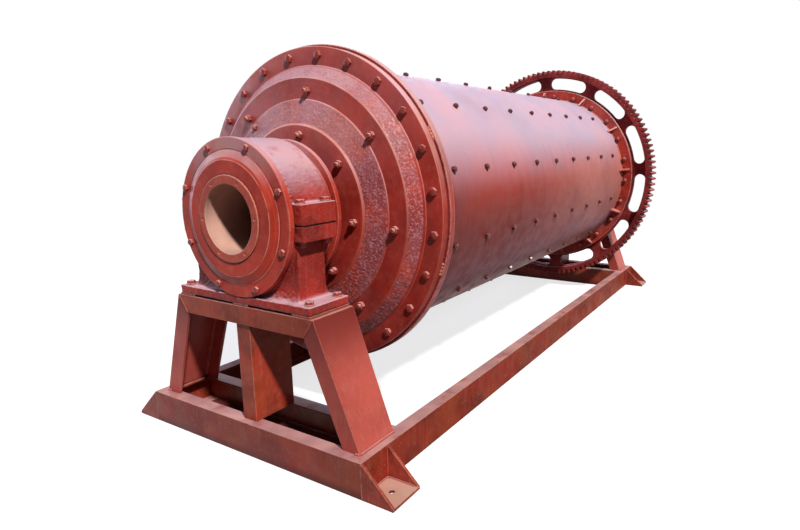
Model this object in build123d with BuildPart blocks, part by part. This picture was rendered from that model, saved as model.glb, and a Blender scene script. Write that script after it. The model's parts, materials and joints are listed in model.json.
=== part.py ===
from build123d import *
from math import acos, atan, ceil, cos, degrees, radians, sin, tan
import os

os.makedirs("parts", exist_ok=True)

# Ball mill of the 1200 mm class on a welded channel frame, millimetres.
# X runs along the mill axis, the feed end is at -X and the girth gear end at +X.
# Z is up and the frame stands on Z = 0.  The origin is the middle of the frame's footprint.
FEED, DRIVE = -1, 1
LEFT, RIGHT = 1, -1

# Base frame of rolled channel
frame_length = 3700.0
frame_width = 1208.0
rail_height = 140.0
rail_flange = 60.0
rail_web = 8.0
rail_flange_thickness = 9.5
rail_root_radius = 9.0

# Anchor feet at the four corners
foot_length = 160.0
foot_reach = 137.0
foot_plate = 12.0
foot_gusset = 10.0
anchor_hole = 22.0
anchor_from_end = 80.0
anchor_from_rail = 70.0

# Bearing stands of heavier channel, a little deeper at the head than at the foot
stand_top_width = 780.0
stand_foot_inset = 38.0
stand_setback = 41.0
stand_head_widening = 16.0
stand_head_shift = 10.0
post_depth = 200.0
post_flange = 75.0
post_web = 9.0
post_flange_thickness = 11.0
post_root_radius = 11.0

# Shims between stand and bearing housing
shim_thickness = 8.0
shim_end_width = 90.0
shim_middle_width = 85.0
shim_depth = 211.0

# Bearing housings
axis_above_seat = 335.0
seat_width = 750.0
seat_depth = 215.0
seat_thickness = 34.0
seat_bolt_hole = 24.0
seat_bolt_spacing_x = 148.0
seat_bolt_spacing_y = 690.0
barrel_radius = 303.0
barrel_depth = 190.0
pedestal_depth = 140.0
pedestal_flare = 12.0
pedestal_flare_height = 30.0
pedestal_toe = 16.0
pedestal_toe_height = 55.0
split_drop = 13.0
lug_width = 690.0
lug_depth = 180.0
lug_above = 79.0
lug_below = 60.0
lug_bolt_hole = 22.0
lug_bolt_spacing_x = 126.0
lug_bolt_from_edge = 32.0
joint_rebate = 2.0
bush_radius = 232.0
bush_length = 150.0
cast_radius = 8.0
edge_break = 2.0

# Bearing covers
cover_radius = 307.0
cover_thickness = 24.0
cover_relief = 2.0
boss_base_radius = 259.0
boss_top_radius = 222.0
boss_height = 16.0
boss_edge_radius = 6.0
cover_bolts = 8
cover_bolt_circle = 286.0
cover_bolt_hole = 18.0
cover_bolt_phase = 22.5
ring_neck_radius = 270.0
feed_ring_neck = 45.0
drive_ring_neck = 24.0
ring_cover_radius = 298.0
ring_cover_thickness = 20.0
seal_gap = 2.5

# Hollow trunnions
journal_radius = 165.0
trunnion_bore_radius = 134.0
journal_running_clearance = 0.08
neck_radius = 182.0
neck_fillet = 12.0
head_bore_radius = 210.0
trunnion_flange_radius = 338.0
trunnion_flange_thickness = 30.0
trunnion_flange_clearance = 16.0
end_ring_radius = 168.0
end_ring_thickness = 18.0
end_ring_proud = 5.0
end_ring_screws = 6
end_ring_screw_radius = 150.0
end_ring_screw_hole = 9.0
end_ring_phase = 27.0

# Drum heads, whose flange is a step smaller than the shell's
head_flange_step = 12.0
head_flange_thickness = 36.0
outer_cone_inset = 14.0
middle_ring_width = 85.0
middle_ring_outwards = 25.5
middle_ring_depth = 54.0
inner_ring_depth = 88.0
head_wall = 34.0
feed_neck_gap = 122.0
drive_neck_gap = 50.0

# Shell and its flanges
shell_radius = 616.0
shell_wall = 16.0
shell_flange_rise = 76.0
shell_flange_thickness = 32.0
rib_count = 12
rib_length = 75.0
rib_thickness = 12.0
rib_edge_inset = 12.0
rib_nose = 6.0

# Bolt holes through the flanges and the rings of the heads
flange_bolts = 24
flange_bolt_from_shell = 28.0
feed_flange_phase = 7.0
ring_bolts = 8
middle_ring_bolt_inset = 7.5
inner_ring_bolt_inset = 23.0
head_bolt_hole = 22.0

# Girth gear
gear_module = 14.0
gear_width = 130.0
gear_front_overhang = 10.0
gear_rim_thickness = 23.0
gear_web_thickness = 30.0
gear_floor_clearance = 109.0
spoke_count = 12
spoke_width = 84.0
window_inner_edge = 12.0
window_outer_edge = 6.5
window_least_height = 88.0
tooth_phase = -1.5
drum_phase = -4.3
pressure_angle = 20.0

# Radii of the drum worked out from the shell's
shell_flange_radius = shell_radius + shell_flange_rise
head_flange_radius = shell_flange_radius - head_flange_step
flange_bolt_circle = shell_radius + flange_bolt_from_shell
drive_flange_phase = drum_phase + 180 / flange_bolts
outer_cone_base_radius = shell_radius - outer_cone_inset
inner_cone_top_radius = trunnion_flange_radius + trunnion_flange_clearance
middle_ring_radius = (outer_cone_base_radius + inner_cone_top_radius) / 2 + middle_ring_outwards
outer_cone_top_radius = middle_ring_radius + middle_ring_width / 2
inner_cone_base_radius = middle_ring_radius - middle_ring_width / 2
middle_bolt_circle = middle_ring_radius - middle_ring_bolt_inset
inner_bolt_circle = trunnion_flange_radius - inner_ring_bolt_inset

# The gear has the fewest teeth whose rim leaves the windows their height
dedendum = 1.25 * gear_module
least_window_top = shell_flange_radius + window_inner_edge + window_least_height
least_pitch_radius = least_window_top + window_outer_edge + gear_rim_thickness + dedendum
gear_teeth = ceil(2 * least_pitch_radius / gear_module)
pitch_radius = gear_module * gear_teeth / 2
tip_radius = pitch_radius + gear_module
root_radius = pitch_radius - dedendum
rim_inner_radius = root_radius - gear_rim_thickness
window_inner_radius = shell_flange_radius + window_inner_edge
window_outer_radius = rim_inner_radius - window_outer_edge

# Places along, across and above the floor
half_frame = frame_length / 2
half_width = frame_width / 2
stand_foot_width = frame_width - 2 * stand_foot_inset
axis_height = tip_radius + gear_floor_clearance
seat_underside = axis_height - axis_above_seat
stand_top = seat_underside - shim_thickness
stand_height = stand_top - rail_height
stand_outer_x = half_frame - stand_setback
bearing_x = stand_outer_x - post_depth / 2
seat_x = bearing_x + stand_head_shift
stand_head_depth = post_depth + stand_head_widening
split_height = axis_height - split_drop
lug_x = bearing_x + (barrel_depth - lug_depth) / 2
barrel_outer_x = bearing_x + barrel_depth / 2
barrel_inner_x = bearing_x - barrel_depth / 2
cover_face_x = barrel_outer_x + cover_thickness
boss_face_x = cover_face_x + boss_height
trunnion_end_x = boss_face_x + end_ring_proud
feed_head_x = -(barrel_inner_x - feed_neck_gap - inner_ring_depth)
drive_head_x = barrel_inner_x - drive_neck_gap - inner_ring_depth
head_x = {FEED: feed_head_x, DRIVE: drive_head_x}
flange_phase = {FEED: feed_flange_phase, DRIVE: drive_flange_phase}
ring_neck = {FEED: feed_ring_neck, DRIVE: drive_ring_neck}
shell_start_x = feed_head_x + head_flange_thickness
gear_web_x = drive_head_x - head_flange_thickness - gear_web_thickness
shell_end_x = gear_web_x
shell_length = shell_end_x - shell_start_x
rim_start_x = shell_end_x - shell_flange_thickness - gear_front_overhang

axle = Axis((0, 0, axis_height), (1, 0, 0))
axle_plane = Plane(origin=(0, 0, axis_height), x_dir=(1, 0, 0), z_dir=(0, -1, 0))


def section_at(x):
    """Plane across the mill at x, centred on the axle, with local X along Y and local Y up."""
    return Plane(origin=(x, 0, axis_height), x_dir=(0, 1, 0), z_dir=(1, 0, 0))


def hole_ring(x, circle, count, phase, hole):
    """Sketch of a ring of holes across the mill at x, its first hole turned from the top by phase."""
    with BuildSketch(section_at(x)) as ring:
        with PolarLocations(circle, count, start_angle=90 + phase):
            Circle(hole / 2)
    return ring.sketch


def at_radius(vertices, *radii):
    """Corners of a turned profile that lie at any of the given radii."""
    return [v for v in vertices if any(abs(v.Y - radius) < 0.01 for radius in radii)]


def round_edges(part, radius):
    """Circular edges of a turned piece that have the given radius."""
    return [e for e in part.edges().filter_by(GeomType.CIRCLE) if abs(e.radius - radius) < 0.01]


def finish(part, name):
    """Labels a finished piece and writes its STEP file."""
    part.label = name
    export_step(part, f"parts/{name}.step")


def channel_outline(depth, flange, web, flange_thickness, root_radius_inside):
    """Outline of a rolled channel: web along local X at local Y = 0, flanges towards local +Y."""
    half = depth / 2
    with BuildSketch() as outline:
        with BuildLine():
            Polyline(
                (-half, 0),
                (half, 0),
                (half, flange),
                (half - flange_thickness, flange),
                (half - flange_thickness, web),
                (-half + flange_thickness, web),
                (-half + flange_thickness, flange),
                (-half, flange),
                close=True,
            )
        make_face()
        roots = [v for v in outline.vertices() if abs(v.Y - web) < 0.01]
        fillet(roots, root_radius_inside)
    return outline.sketch


rail_section = channel_outline(rail_height, rail_flange, rail_web, rail_flange_thickness, rail_root_radius)
post_section = channel_outline(post_depth, post_flange, post_web, post_flange_thickness, post_root_radius)
head_section = channel_outline(
    stand_head_depth, post_flange, post_web, post_flange_thickness, post_root_radius
)

# Base frame: two long rails and two end beams meet in mitred corners, webs outwards


def base_rail(side):
    """Long rail on one side, its ends mitred to the end beams."""
    web_middle = (-half_frame, side * half_width, rail_height / 2)
    web_face = Plane(origin=web_middle, x_dir=(0, 0, side), z_dir=(1, 0, 0))
    with BuildPart() as rail:
        with BuildSketch(web_face):
            add(rail_section)
        extrude(amount=frame_length)
        with BuildSketch(Plane.XY):
            with BuildLine():
                Polyline(
                    (-half_frame, side * half_width),
                    (half_frame, side * half_width),
                    (half_frame - rail_flange, side * (half_width - rail_flange)),
                    (-half_frame + rail_flange, side * (half_width - rail_flange)),
                    close=True,
                )
            make_face()
        extrude(amount=rail_height, mode=Mode.INTERSECT)
    return rail.part


def end_beam(end):
    """Cross beam that closes one end of the frame, its ends mitred to the rails."""
    web_middle = (end * half_frame, -half_width, rail_height / 2)
    web_face = Plane(origin=web_middle, x_dir=(0, 0, -end), z_dir=(0, 1, 0))
    with BuildPart() as beam:
        with BuildSketch(web_face):
            add(rail_section)
        extrude(amount=frame_width)
        with BuildSketch(Plane.XY):
            with BuildLine():
                Polyline(
                    (end * half_frame, -half_width),
                    (end * half_frame, half_width),
                    (end * (half_frame - rail_flange), half_width - rail_flange),
                    (end * (half_frame - rail_flange), -half_width + rail_flange),
                    close=True,
                )
            make_face()
        extrude(amount=rail_height, mode=Mode.INTERSECT)
    return beam.part


rails = {side: base_rail(side) for side in (LEFT, RIGHT)}
finish(rails[LEFT], "base_rail_left")
finish(rails[RIGHT], "base_rail_right")
end_beams = {end: end_beam(end) for end in (FEED, DRIVE)}
finish(end_beams[FEED], "feed_end_beam")
finish(end_beams[DRIVE], "drive_end_beam")


def inner_beam(end):
    """Cross beam under the inner edge of a stand, coped between the rails."""
    web_x = stand_outer_x - post_depth - stand_setback
    web_face = Plane(origin=(end * web_x, -half_width, rail_height / 2), x_dir=(0, 0, end), z_dir=(0, 1, 0))
    with BuildPart() as beam:
        with BuildSketch(web_face):
            add(rail_section)
        extrude(amount=frame_width)
        with Locations((end * web_x, 0, rail_height / 2)):
            Box(4 * rail_flange, frame_width - 2 * rail_web, rail_height, mode=Mode.INTERSECT)
        for side in (LEFT, RIGHT):
            add(rails[side], mode=Mode.SUBTRACT)
    return beam.part


finish(inner_beam(FEED), "feed_inner_beam")
finish(inner_beam(DRIVE), "drive_inner_beam")

# Anchor feet: a drilled plate outboard of the rail between two sloping gussets


def anchor_foot(end, side):
    """Anchor foot at one corner of the frame."""
    rail_y = side * half_width
    toe_y = side * (half_width + foot_reach)
    plate_x = end * (half_frame - foot_length / 2)
    with BuildPart() as foot:
        with Locations((plate_x, side * (half_width + foot_reach / 2), foot_plate / 2)):
            Box(foot_length, foot_reach, foot_plate)
        for outer_x in (half_frame, half_frame - foot_length + foot_gusset):
            gusset_face = Plane(origin=(end * outer_x, 0, 0), x_dir=(0, 1, 0), z_dir=(1, 0, 0))
            with BuildSketch(gusset_face):
                with BuildLine():
                    Polyline((rail_y, 0), (rail_y, rail_height), (toe_y, foot_plate), (toe_y, 0), close=True)
                make_face()
            extrude(amount=-end * foot_gusset)
        hole_x = end * (half_frame - anchor_from_end)
        hole_y = side * (half_width + anchor_from_rail)
        with Locations((hole_x, hole_y, foot_plate)):
            Hole(anchor_hole / 2, depth=foot_plate)
    return foot.part


for end, end_name in ((FEED, "feed"), (DRIVE, "drive")):
    for side, side_name in ((LEFT, "left"), (RIGHT, "right")):
        finish(anchor_foot(end, side), f"{end_name}_foot_{side_name}")

# Bearing stands: two raking legs, a plumb middle leg and a head channel mitred to the raking legs
leg_rake = (stand_foot_width - stand_top_width) / 2 / stand_height
level_stretch = 1 / cos(atan(leg_rake))
mitre_top = stand_top_width / 2
mitre_foot = mitre_top + post_flange * (leg_rake - level_stretch)

with BuildSketch(Plane.YZ) as head_outline:
    with BuildLine():
        Polyline(
            (-mitre_top, stand_top),
            (mitre_top, stand_top),
            (mitre_foot, stand_top - post_flange),
            (-mitre_foot, stand_top - post_flange),
            close=True,
        )
    make_face()


def raking_leg(end, side):
    """Leg that rakes outwards to the rail and deepens towards the head, its web outwards."""
    ends = (
        (bearing_x, stand_foot_width / 2, rail_height, post_depth),
        (seat_x, stand_top_width / 2, stand_top, stand_head_depth),
    )
    with BuildPart() as leg:
        for middle_x, spread, height, depth in ends:
            corner = (end * middle_x, side * spread, height)
            with BuildSketch(Plane(origin=corner, x_dir=(-side, 0, 0), z_dir=(0, 0, 1))):
                add(
                    channel_outline(
                        depth,
                        post_flange * level_stretch,
                        post_web * level_stretch,
                        post_flange_thickness,
                        post_root_radius,
                    )
                )
        loft(ruled=True)
        extrude(head_outline.sketch, amount=frame_length, both=True, mode=Mode.SUBTRACT)
    return leg.part


def middle_leg(end):
    """Plumb leg under the middle of the stand's head, web towards the right side."""
    foot = Plane(origin=(end * seat_x, -post_flange / 2, rail_height), x_dir=(1, 0, 0), z_dir=(0, 0, 1))
    with BuildPart() as leg:
        with BuildSketch(foot):
            add(post_section)
        extrude(amount=stand_height - post_flange)
    return leg.part


def stand_head(end):
    """Channel laid web up across the legs, its ends mitred to them."""
    start = (end * seat_x, -stand_top_width / 2, stand_top)
    with BuildPart() as head:
        with BuildSketch(Plane(origin=start, x_dir=(1, 0, 0), z_dir=(0, 1, 0))):
            add(head_section)
        extrude(amount=stand_top_width)
        extrude(head_outline.sketch, amount=frame_length, both=True, mode=Mode.INTERSECT)
    return head.part


for end, end_name in ((FEED, "feed"), (DRIVE, "drive")):
    finish(raking_leg(end, LEFT), f"{end_name}_stand_leg_left")
    finish(raking_leg(end, RIGHT), f"{end_name}_stand_leg_right")
    finish(middle_leg(end), f"{end_name}_stand_leg_middle")
    finish(stand_head(end), f"{end_name}_stand_head")


def shims(end):
    """Three shim pads that level the housing on the stand's head."""
    end_y = (seat_width - shim_end_width) / 2
    middle = stand_top + shim_thickness / 2
    with BuildPart() as pads:
        with Locations((end * seat_x, -end_y, middle), (end * seat_x, end_y, middle)):
            Box(shim_depth, shim_end_width, shim_thickness)
        with Locations((end * seat_x, 0, middle)):
            Box(shim_depth, shim_middle_width, shim_thickness)
    return pads.part


finish(shims(FEED), "feed_bearing_shims")
finish(shims(DRIVE), "drive_bearing_shims")

# Split bearing housings


def joint_slot(end):
    """Sketch of the rebate round the edges of the lugs, in the plane where the housing splits."""
    with BuildSketch(Plane.XY.offset(split_height)) as slot:
        with Locations((end * lug_x, 0)):
            RectangleRounded(lug_depth, lug_width, cast_radius)
            RectangleRounded(
                lug_depth - 2 * joint_rebate,
                lug_width - 2 * joint_rebate,
                cast_radius - joint_rebate,
                mode=Mode.SUBTRACT,
            )
            Rectangle(lug_depth, 2 * barrel_radius, mode=Mode.SUBTRACT)
    return slot.sketch


def housing_base(end):
    """Lower part of a bearing housing: seat plate, pedestal, lower barrel and lugs."""
    middle_x = end * bearing_x
    seat_top = seat_thickness - axis_above_seat
    waist = barrel_radius - cast_radius
    half_depth = pedestal_depth / 2
    half_toe = half_depth + pedestal_toe
    with BuildPart() as base:
        with BuildSketch(section_at(end * seat_x)):
            with BuildLine():
                Line((-waist, -split_drop), (waist, -split_drop))
                Line((waist, -split_drop), (waist, seat_top + pedestal_flare_height))
                Spline(
                    (waist, seat_top + pedestal_flare_height),
                    (waist + pedestal_flare, seat_top),
                    tangents=((0, -1), (1, -0.6)),
                )
                Line((waist + pedestal_flare, seat_top), (-waist - pedestal_flare, seat_top))
                Spline(
                    (-waist - pedestal_flare, seat_top),
                    (-waist, seat_top + pedestal_flare_height),
                    tangents=((1, 0.6), (0, 1)),
                )
                Line((-waist, seat_top + pedestal_flare_height), (-waist, -split_drop))
            make_face()
        extrude(amount=pedestal_depth, both=True)
        with BuildSketch(Plane(origin=(end * seat_x, 0, axis_height), x_dir=(1, 0, 0), z_dir=(0, -1, 0))):
            with BuildLine():
                Polyline((-half_toe, seat_top), (half_toe, seat_top))
                Spline(
                    (half_toe, seat_top),
                    (half_depth, seat_top + pedestal_toe_height),
                    tangents=((-0.6, 1), (0, 1)),
                )
                Polyline(
                    (half_depth, seat_top + pedestal_toe_height),
                    (half_depth, -split_drop),
                    (-half_depth, -split_drop),
                    (-half_depth, seat_top + pedestal_toe_height),
                )
                Spline(
                    (-half_depth, seat_top + pedestal_toe_height),
                    (-half_toe, seat_top),
                    tangents=((0, -1), (-0.6, -1)),
                )
            make_face()
        extrude(amount=seat_width, both=True, mode=Mode.INTERSECT)
        with BuildSketch(Plane.XY.offset(seat_underside)):
            with Locations((end * seat_x, 0)):
                RectangleRounded(seat_depth, seat_width, cast_radius)
        extrude(amount=seat_thickness)
        with BuildSketch(section_at(middle_x)):
            Circle(barrel_radius)
            with Locations((0, barrel_radius - split_drop)):
                Rectangle(2 * barrel_radius, 2 * barrel_radius, mode=Mode.SUBTRACT)
        extrude(amount=barrel_depth / 2, both=True)
        with BuildSketch(Plane.XY.offset(split_height)):
            with Locations((end * lug_x, 0)):
                RectangleRounded(lug_depth, lug_width, cast_radius)
        extrude(amount=-lug_below)
        extrude(joint_slot(end), amount=-joint_rebate, mode=Mode.SUBTRACT)
        with BuildSketch(section_at(middle_x)):
            Circle(bush_radius)
        extrude(amount=barrel_depth, both=True, mode=Mode.SUBTRACT)
        with BuildSketch(section_at(end * barrel_outer_x)):
            Circle(cover_radius + cover_relief)
        extrude(amount=end * seat_depth, mode=Mode.SUBTRACT)
        with Locations(Plane(origin=(end * seat_x, 0, seat_underside + seat_thickness))):
            with GridLocations(seat_bolt_spacing_x, seat_bolt_spacing_y, 2, 2):
                Hole(seat_bolt_hole / 2, depth=seat_thickness)
        with Locations(Plane(origin=(end * lug_x, 0, split_height))):
            with GridLocations(lug_bolt_spacing_x, lug_width - 2 * lug_bolt_from_edge, 2, 2):
                Hole(lug_bolt_hole / 2, depth=lug_below)
    return base.part


def housing_cap(end):
    """Upper part of a bearing housing: upper barrel and bolting lugs."""
    middle_x = end * bearing_x
    with BuildPart() as cap:
        with BuildSketch(section_at(middle_x)):
            Circle(barrel_radius)
            with Locations((0, -barrel_radius - split_drop)):
                Rectangle(2 * barrel_radius, 2 * barrel_radius, mode=Mode.SUBTRACT)
        extrude(amount=barrel_depth / 2, both=True)
        with BuildSketch(Plane.XY.offset(split_height)):
            with Locations((end * lug_x, 0)):
                RectangleRounded(lug_depth, lug_width, cast_radius)
        extrude(amount=lug_above)
        extrude(joint_slot(end), amount=joint_rebate, mode=Mode.SUBTRACT)
        with BuildSketch(section_at(middle_x)):
            Circle(bush_radius)
        extrude(amount=barrel_depth, both=True, mode=Mode.SUBTRACT)
        with Locations(Plane(origin=(end * lug_x, 0, split_height + lug_above))):
            with GridLocations(lug_bolt_spacing_x, lug_width - 2 * lug_bolt_from_edge, 2, 2):
                Hole(lug_bolt_hole / 2, depth=lug_above)
    return cap.part


def bearing_bush(end):
    """Bearing ring held in the housing, in which the journal turns."""
    with BuildPart() as bush:
        with BuildSketch(section_at(end * bearing_x)):
            Circle(bush_radius)
            Circle(journal_radius + journal_running_clearance, mode=Mode.SUBTRACT)
        extrude(amount=bush_length / 2, both=True)
    return bush.part


def outer_cover(end):
    """Round bolted cover on the outside of the housing with a stepped boss round the trunnion mouth."""
    opening = end_ring_radius + seal_gap
    with BuildPart() as cover:
        with BuildSketch(axle_plane):
            with BuildLine():
                Polyline(
                    (end * barrel_outer_x, opening),
                    (end * barrel_outer_x, cover_radius),
                    (end * cover_face_x, cover_radius),
                    (end * cover_face_x, boss_base_radius),
                    (end * boss_face_x, boss_top_radius),
                    (end * boss_face_x, opening),
                    close=True,
                )
            outline = make_face()
            corners = outline.vertices()
            chamfer(at_radius(corners, cover_radius), edge_break)
            fillet(at_radius(corners, boss_base_radius, boss_top_radius), boss_edge_radius)
        revolve(axis=axle)
        back_x = end * barrel_outer_x
        bolt_holes = hole_ring(back_x, cover_bolt_circle, cover_bolts, cover_bolt_phase, cover_bolt_hole)
        extrude(bolt_holes, amount=end * cover_thickness, mode=Mode.SUBTRACT)
    return cover.part


def inner_cover(end):
    """Neck cover on the drum side of the housing, with a broad ring at the feed end's longer neck."""
    with BuildPart() as cover:
        with BuildSketch(section_at(end * barrel_inner_x)):
            Circle(ring_neck_radius)
        extrude(amount=-end * ring_neck[end])
        if end == FEED:
            with BuildSketch(section_at(end * (barrel_inner_x - ring_neck[end]))):
                Circle(ring_cover_radius)
            extrude(amount=-end * ring_cover_thickness)
            chamfer(round_edges(cover, ring_cover_radius), edge_break)
        with BuildSketch(section_at(end * barrel_inner_x)):
            Circle(journal_radius + seal_gap)
        extrude(amount=-end * (ring_neck[end] + ring_cover_thickness), mode=Mode.SUBTRACT)
    return cover.part


for end, end_name in ((FEED, "feed"), (DRIVE, "drive")):
    finish(housing_base(end), f"{end_name}_housing_base")
    finish(housing_cap(end), f"{end_name}_housing_cap")
    finish(bearing_bush(end), f"{end_name}_bearing_bush")
    finish(outer_cover(end), f"{end_name}_outer_cover")
    finish(inner_cover(end), f"{end_name}_inner_cover")

# Drum heads and trunnions, revolved about the axle


def drum_head(end):
    """Cast head: bolting flange, two cones and two flat rings, open for the trunnion."""
    def place(outward, radius):
        """Point of the profile by its distance outwards from the flange's face."""
        return (head_x[end] + end * outward, radius)

    inner_depth = inner_ring_depth - head_wall
    middle_depth = middle_ring_depth - head_wall
    with BuildPart() as head:
        with BuildSketch(axle_plane):
            with BuildLine():
                Polyline(
                    place(0, head_flange_radius),
                    place(0, outer_cone_base_radius),
                    place(middle_ring_depth, outer_cone_top_radius),
                    place(middle_ring_depth, inner_cone_base_radius),
                    place(inner_ring_depth, inner_cone_top_radius),
                    place(inner_ring_depth, head_bore_radius),
                    place(inner_depth, head_bore_radius),
                    place(inner_depth, inner_cone_top_radius - cast_radius),
                    place(middle_depth, inner_cone_base_radius - cast_radius),
                    place(middle_depth, outer_cone_top_radius - cast_radius),
                    place(-head_flange_thickness, shell_radius - shell_wall - cast_radius),
                    place(-head_flange_thickness, head_flange_radius),
                    close=True,
                )
            outline = make_face()
            corners = outline.vertices()
            outer_cone = at_radius(corners, outer_cone_base_radius, outer_cone_top_radius)
            inner_cone = at_radius(corners, inner_cone_base_radius, inner_cone_top_radius)
            chamfer(at_radius(corners, head_flange_radius), edge_break)
            fillet(outer_cone + inner_cone, cast_radius)
        revolve(axis=axle)
        for start, circle, count, phase, depth in (
            (0, flange_bolt_circle, flange_bolts, flange_phase[end], -head_flange_thickness),
            (middle_ring_depth, middle_bolt_circle, ring_bolts, feed_flange_phase, -head_wall),
            (inner_ring_depth, inner_bolt_circle, ring_bolts, feed_flange_phase, -head_wall),
        ):
            holes = hole_ring(head_x[end] + end * start, circle, count, phase, head_bolt_hole)
            extrude(holes, amount=end * depth, mode=Mode.SUBTRACT)
    return head.part


def trunnion(end):
    """Hollow trunnion: flange behind the head, spigot, neck and the journal in the bearing."""
    ring_face_x = head_x[end] + end * inner_ring_depth
    flange_face_x = ring_face_x - end * head_wall
    flange_back_x = flange_face_x - end * trunnion_flange_thickness
    tip_x = end * (trunnion_end_x - end_ring_thickness)
    shoulder_x = ring_face_x + end * (neck_radius - journal_radius)
    with BuildPart() as hollow_shaft:
        with BuildSketch(axle_plane):
            with BuildLine():
                Polyline(
                    (tip_x, trunnion_bore_radius),
                    (tip_x, journal_radius),
                    (shoulder_x, journal_radius),
                    (ring_face_x, neck_radius),
                    (ring_face_x, head_bore_radius),
                    (flange_face_x, head_bore_radius),
                    (flange_face_x, trunnion_flange_radius),
                    (flange_back_x, trunnion_flange_radius),
                    (flange_back_x, trunnion_bore_radius),
                    close=True,
                )
            outline = make_face()
            shoulder = [v for v in outline.vertices() if abs(v.X - shoulder_x) < 0.01]
            fillet(shoulder, neck_fillet)
        revolve(axis=axle)
        holes = hole_ring(flange_face_x, inner_bolt_circle, ring_bolts, feed_flange_phase, head_bolt_hole)
        extrude(holes, amount=-end * trunnion_flange_thickness, mode=Mode.SUBTRACT)
    return hollow_shaft.part


def end_ring(end):
    """Ring screwed to the mouth of the trunnion."""
    face = section_at(end * (trunnion_end_x - end_ring_thickness))
    with BuildPart() as ring:
        with BuildSketch(face):
            Circle(end_ring_radius)
            Circle(trunnion_bore_radius, mode=Mode.SUBTRACT)
            with PolarLocations(end_ring_screw_radius, end_ring_screws, start_angle=90 + end_ring_phase):
                Circle(end_ring_screw_hole / 2, mode=Mode.SUBTRACT)
        extrude(amount=end * end_ring_thickness)
        chamfer(round_edges(ring, end_ring_radius), edge_break)
    return ring.part


for end, end_name in ((FEED, "feed"), (DRIVE, "drive")):
    finish(drum_head(end), f"{end_name}_head")
    finish(trunnion(end), f"{end_name}_trunnion")
    finish(end_ring(end), f"{end_name}_trunnion_ring")

# Drum shell with its end flanges and the ribs that stiffen them
with BuildPart() as shell:
    with BuildSketch(section_at(shell_start_x)):
        Circle(shell_radius)
        Circle(shell_radius - shell_wall, mode=Mode.SUBTRACT)
    extrude(amount=shell_length)
finish(shell.part, "drum_shell")

shell_ends = {FEED: shell_start_x, DRIVE: shell_end_x}


def shell_flange(end):
    """Flange ring welded round one end of the shell."""
    with BuildPart() as flange:
        with BuildSketch(section_at(shell_ends[end])):
            Circle(shell_flange_radius)
            Circle(shell_radius, mode=Mode.SUBTRACT)
        extrude(amount=-end * shell_flange_thickness)
        chamfer(round_edges(flange, shell_flange_radius), edge_break)
        face_x = shell_ends[end]
        holes = hole_ring(face_x, flange_bolt_circle, flange_bolts, flange_phase[end], head_bolt_hole)
        extrude(holes, amount=-end * shell_flange_thickness, mode=Mode.SUBTRACT)
    return flange.part


def flange_ribs(end):
    """Triangular ribs between the shell and the back of its flange."""
    back_x = shell_ends[end] - end * shell_flange_thickness
    rib_top = shell_flange_radius - rib_edge_inset
    with BuildPart() as ribs:
        for index in range(rib_count):
            turn = drum_phase + index * 360 / rib_count
            outward = Vector(0, -sin(radians(turn)), cos(radians(turn)))
            across = Vector(1, 0, 0).cross(outward)
            face = Plane(origin=(back_x, 0, axis_height), x_dir=(1, 0, 0), z_dir=across)
            with BuildSketch(face):
                with BuildLine():
                    Polyline(
                        (0, shell_radius),
                        (0, rib_top),
                        (-end * rib_nose, rib_top),
                        (-end * rib_length, shell_radius + rib_nose),
                        (-end * rib_length, shell_radius),
                        close=True,
                    )
                make_face()
            extrude(amount=rib_thickness / 2, both=True)
    return ribs.part


for end, end_name in ((FEED, "feed"), (DRIVE, "drive")):
    finish(shell_flange(end), f"{end_name}_shell_flange")
    finish(flange_ribs(end), f"{end_name}_flange_ribs")

# Girth gear: toothed rim on a web with curved windows, bolted between shell flange and head


def involute(angle):
    """Involute function of a pressure angle in radians."""
    return tan(angle) - angle


def tooth_half_angle(radius):
    """Half the angle, in degrees, that an involute tooth takes up at the given radius."""
    half_at_pitch = 90 / gear_teeth
    base_radius = pitch_radius * cos(radians(pressure_angle))
    flank_shift = involute(radians(pressure_angle)) - involute(acos(base_radius / radius))
    return half_at_pitch + degrees(flank_shift)


def gear_point(radius, angle):
    """Point on the gear's face by its radius and its turn from the top."""
    return (-radius * sin(radians(angle)), radius * cos(radians(angle)))


tooth_pitch = 360 / gear_teeth
tooth_outline = []
flank_radii = (root_radius, pitch_radius, tip_radius)
for tooth in range(gear_teeth):
    centre = tooth_phase + tooth * tooth_pitch
    for radius in flank_radii:
        tooth_outline.append(gear_point(radius, centre - tooth_half_angle(radius)))
    for radius in reversed(flank_radii):
        tooth_outline.append(gear_point(radius, centre + tooth_half_angle(radius)))

window_middle_radius = (window_inner_radius + window_outer_radius) / 2
window_height = window_outer_radius - window_inner_radius
window_end_angle = degrees((spoke_width + window_height) / 2 / window_middle_radius)

with BuildPart() as girth_gear:
    with BuildSketch(section_at(rim_start_x)):
        with BuildLine():
            Polyline(*tooth_outline, close=True)
        make_face()
        Circle(rim_inner_radius, mode=Mode.SUBTRACT)
    extrude(amount=gear_width)
    with BuildSketch(section_at(gear_web_x)):
        Circle(rim_inner_radius + window_outer_edge)
        Circle(shell_radius - shell_wall, mode=Mode.SUBTRACT)
        for spoke in range(spoke_count):
            spoke_angle = 90 + drum_phase + spoke * 360 / spoke_count
            with BuildLine() as window_line:
                CenterArc(
                    (0, 0),
                    window_middle_radius,
                    spoke_angle + window_end_angle,
                    360 / spoke_count - 2 * window_end_angle,
                )
            SlotArc(window_line.edge(), window_height, mode=Mode.SUBTRACT)
    extrude(amount=gear_web_thickness)
    holes = hole_ring(gear_web_x, flange_bolt_circle, flange_bolts, drive_flange_phase, head_bolt_hole)
    extrude(holes, amount=gear_web_thickness, mode=Mode.SUBTRACT)
finish(girth_gear.part, "girth_gear")
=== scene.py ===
import json
import logging
from dataclasses import dataclass, field
from enum import Enum
from functools import cached_property
from math import cos, degrees, hypot, pi, radians, sin

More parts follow.
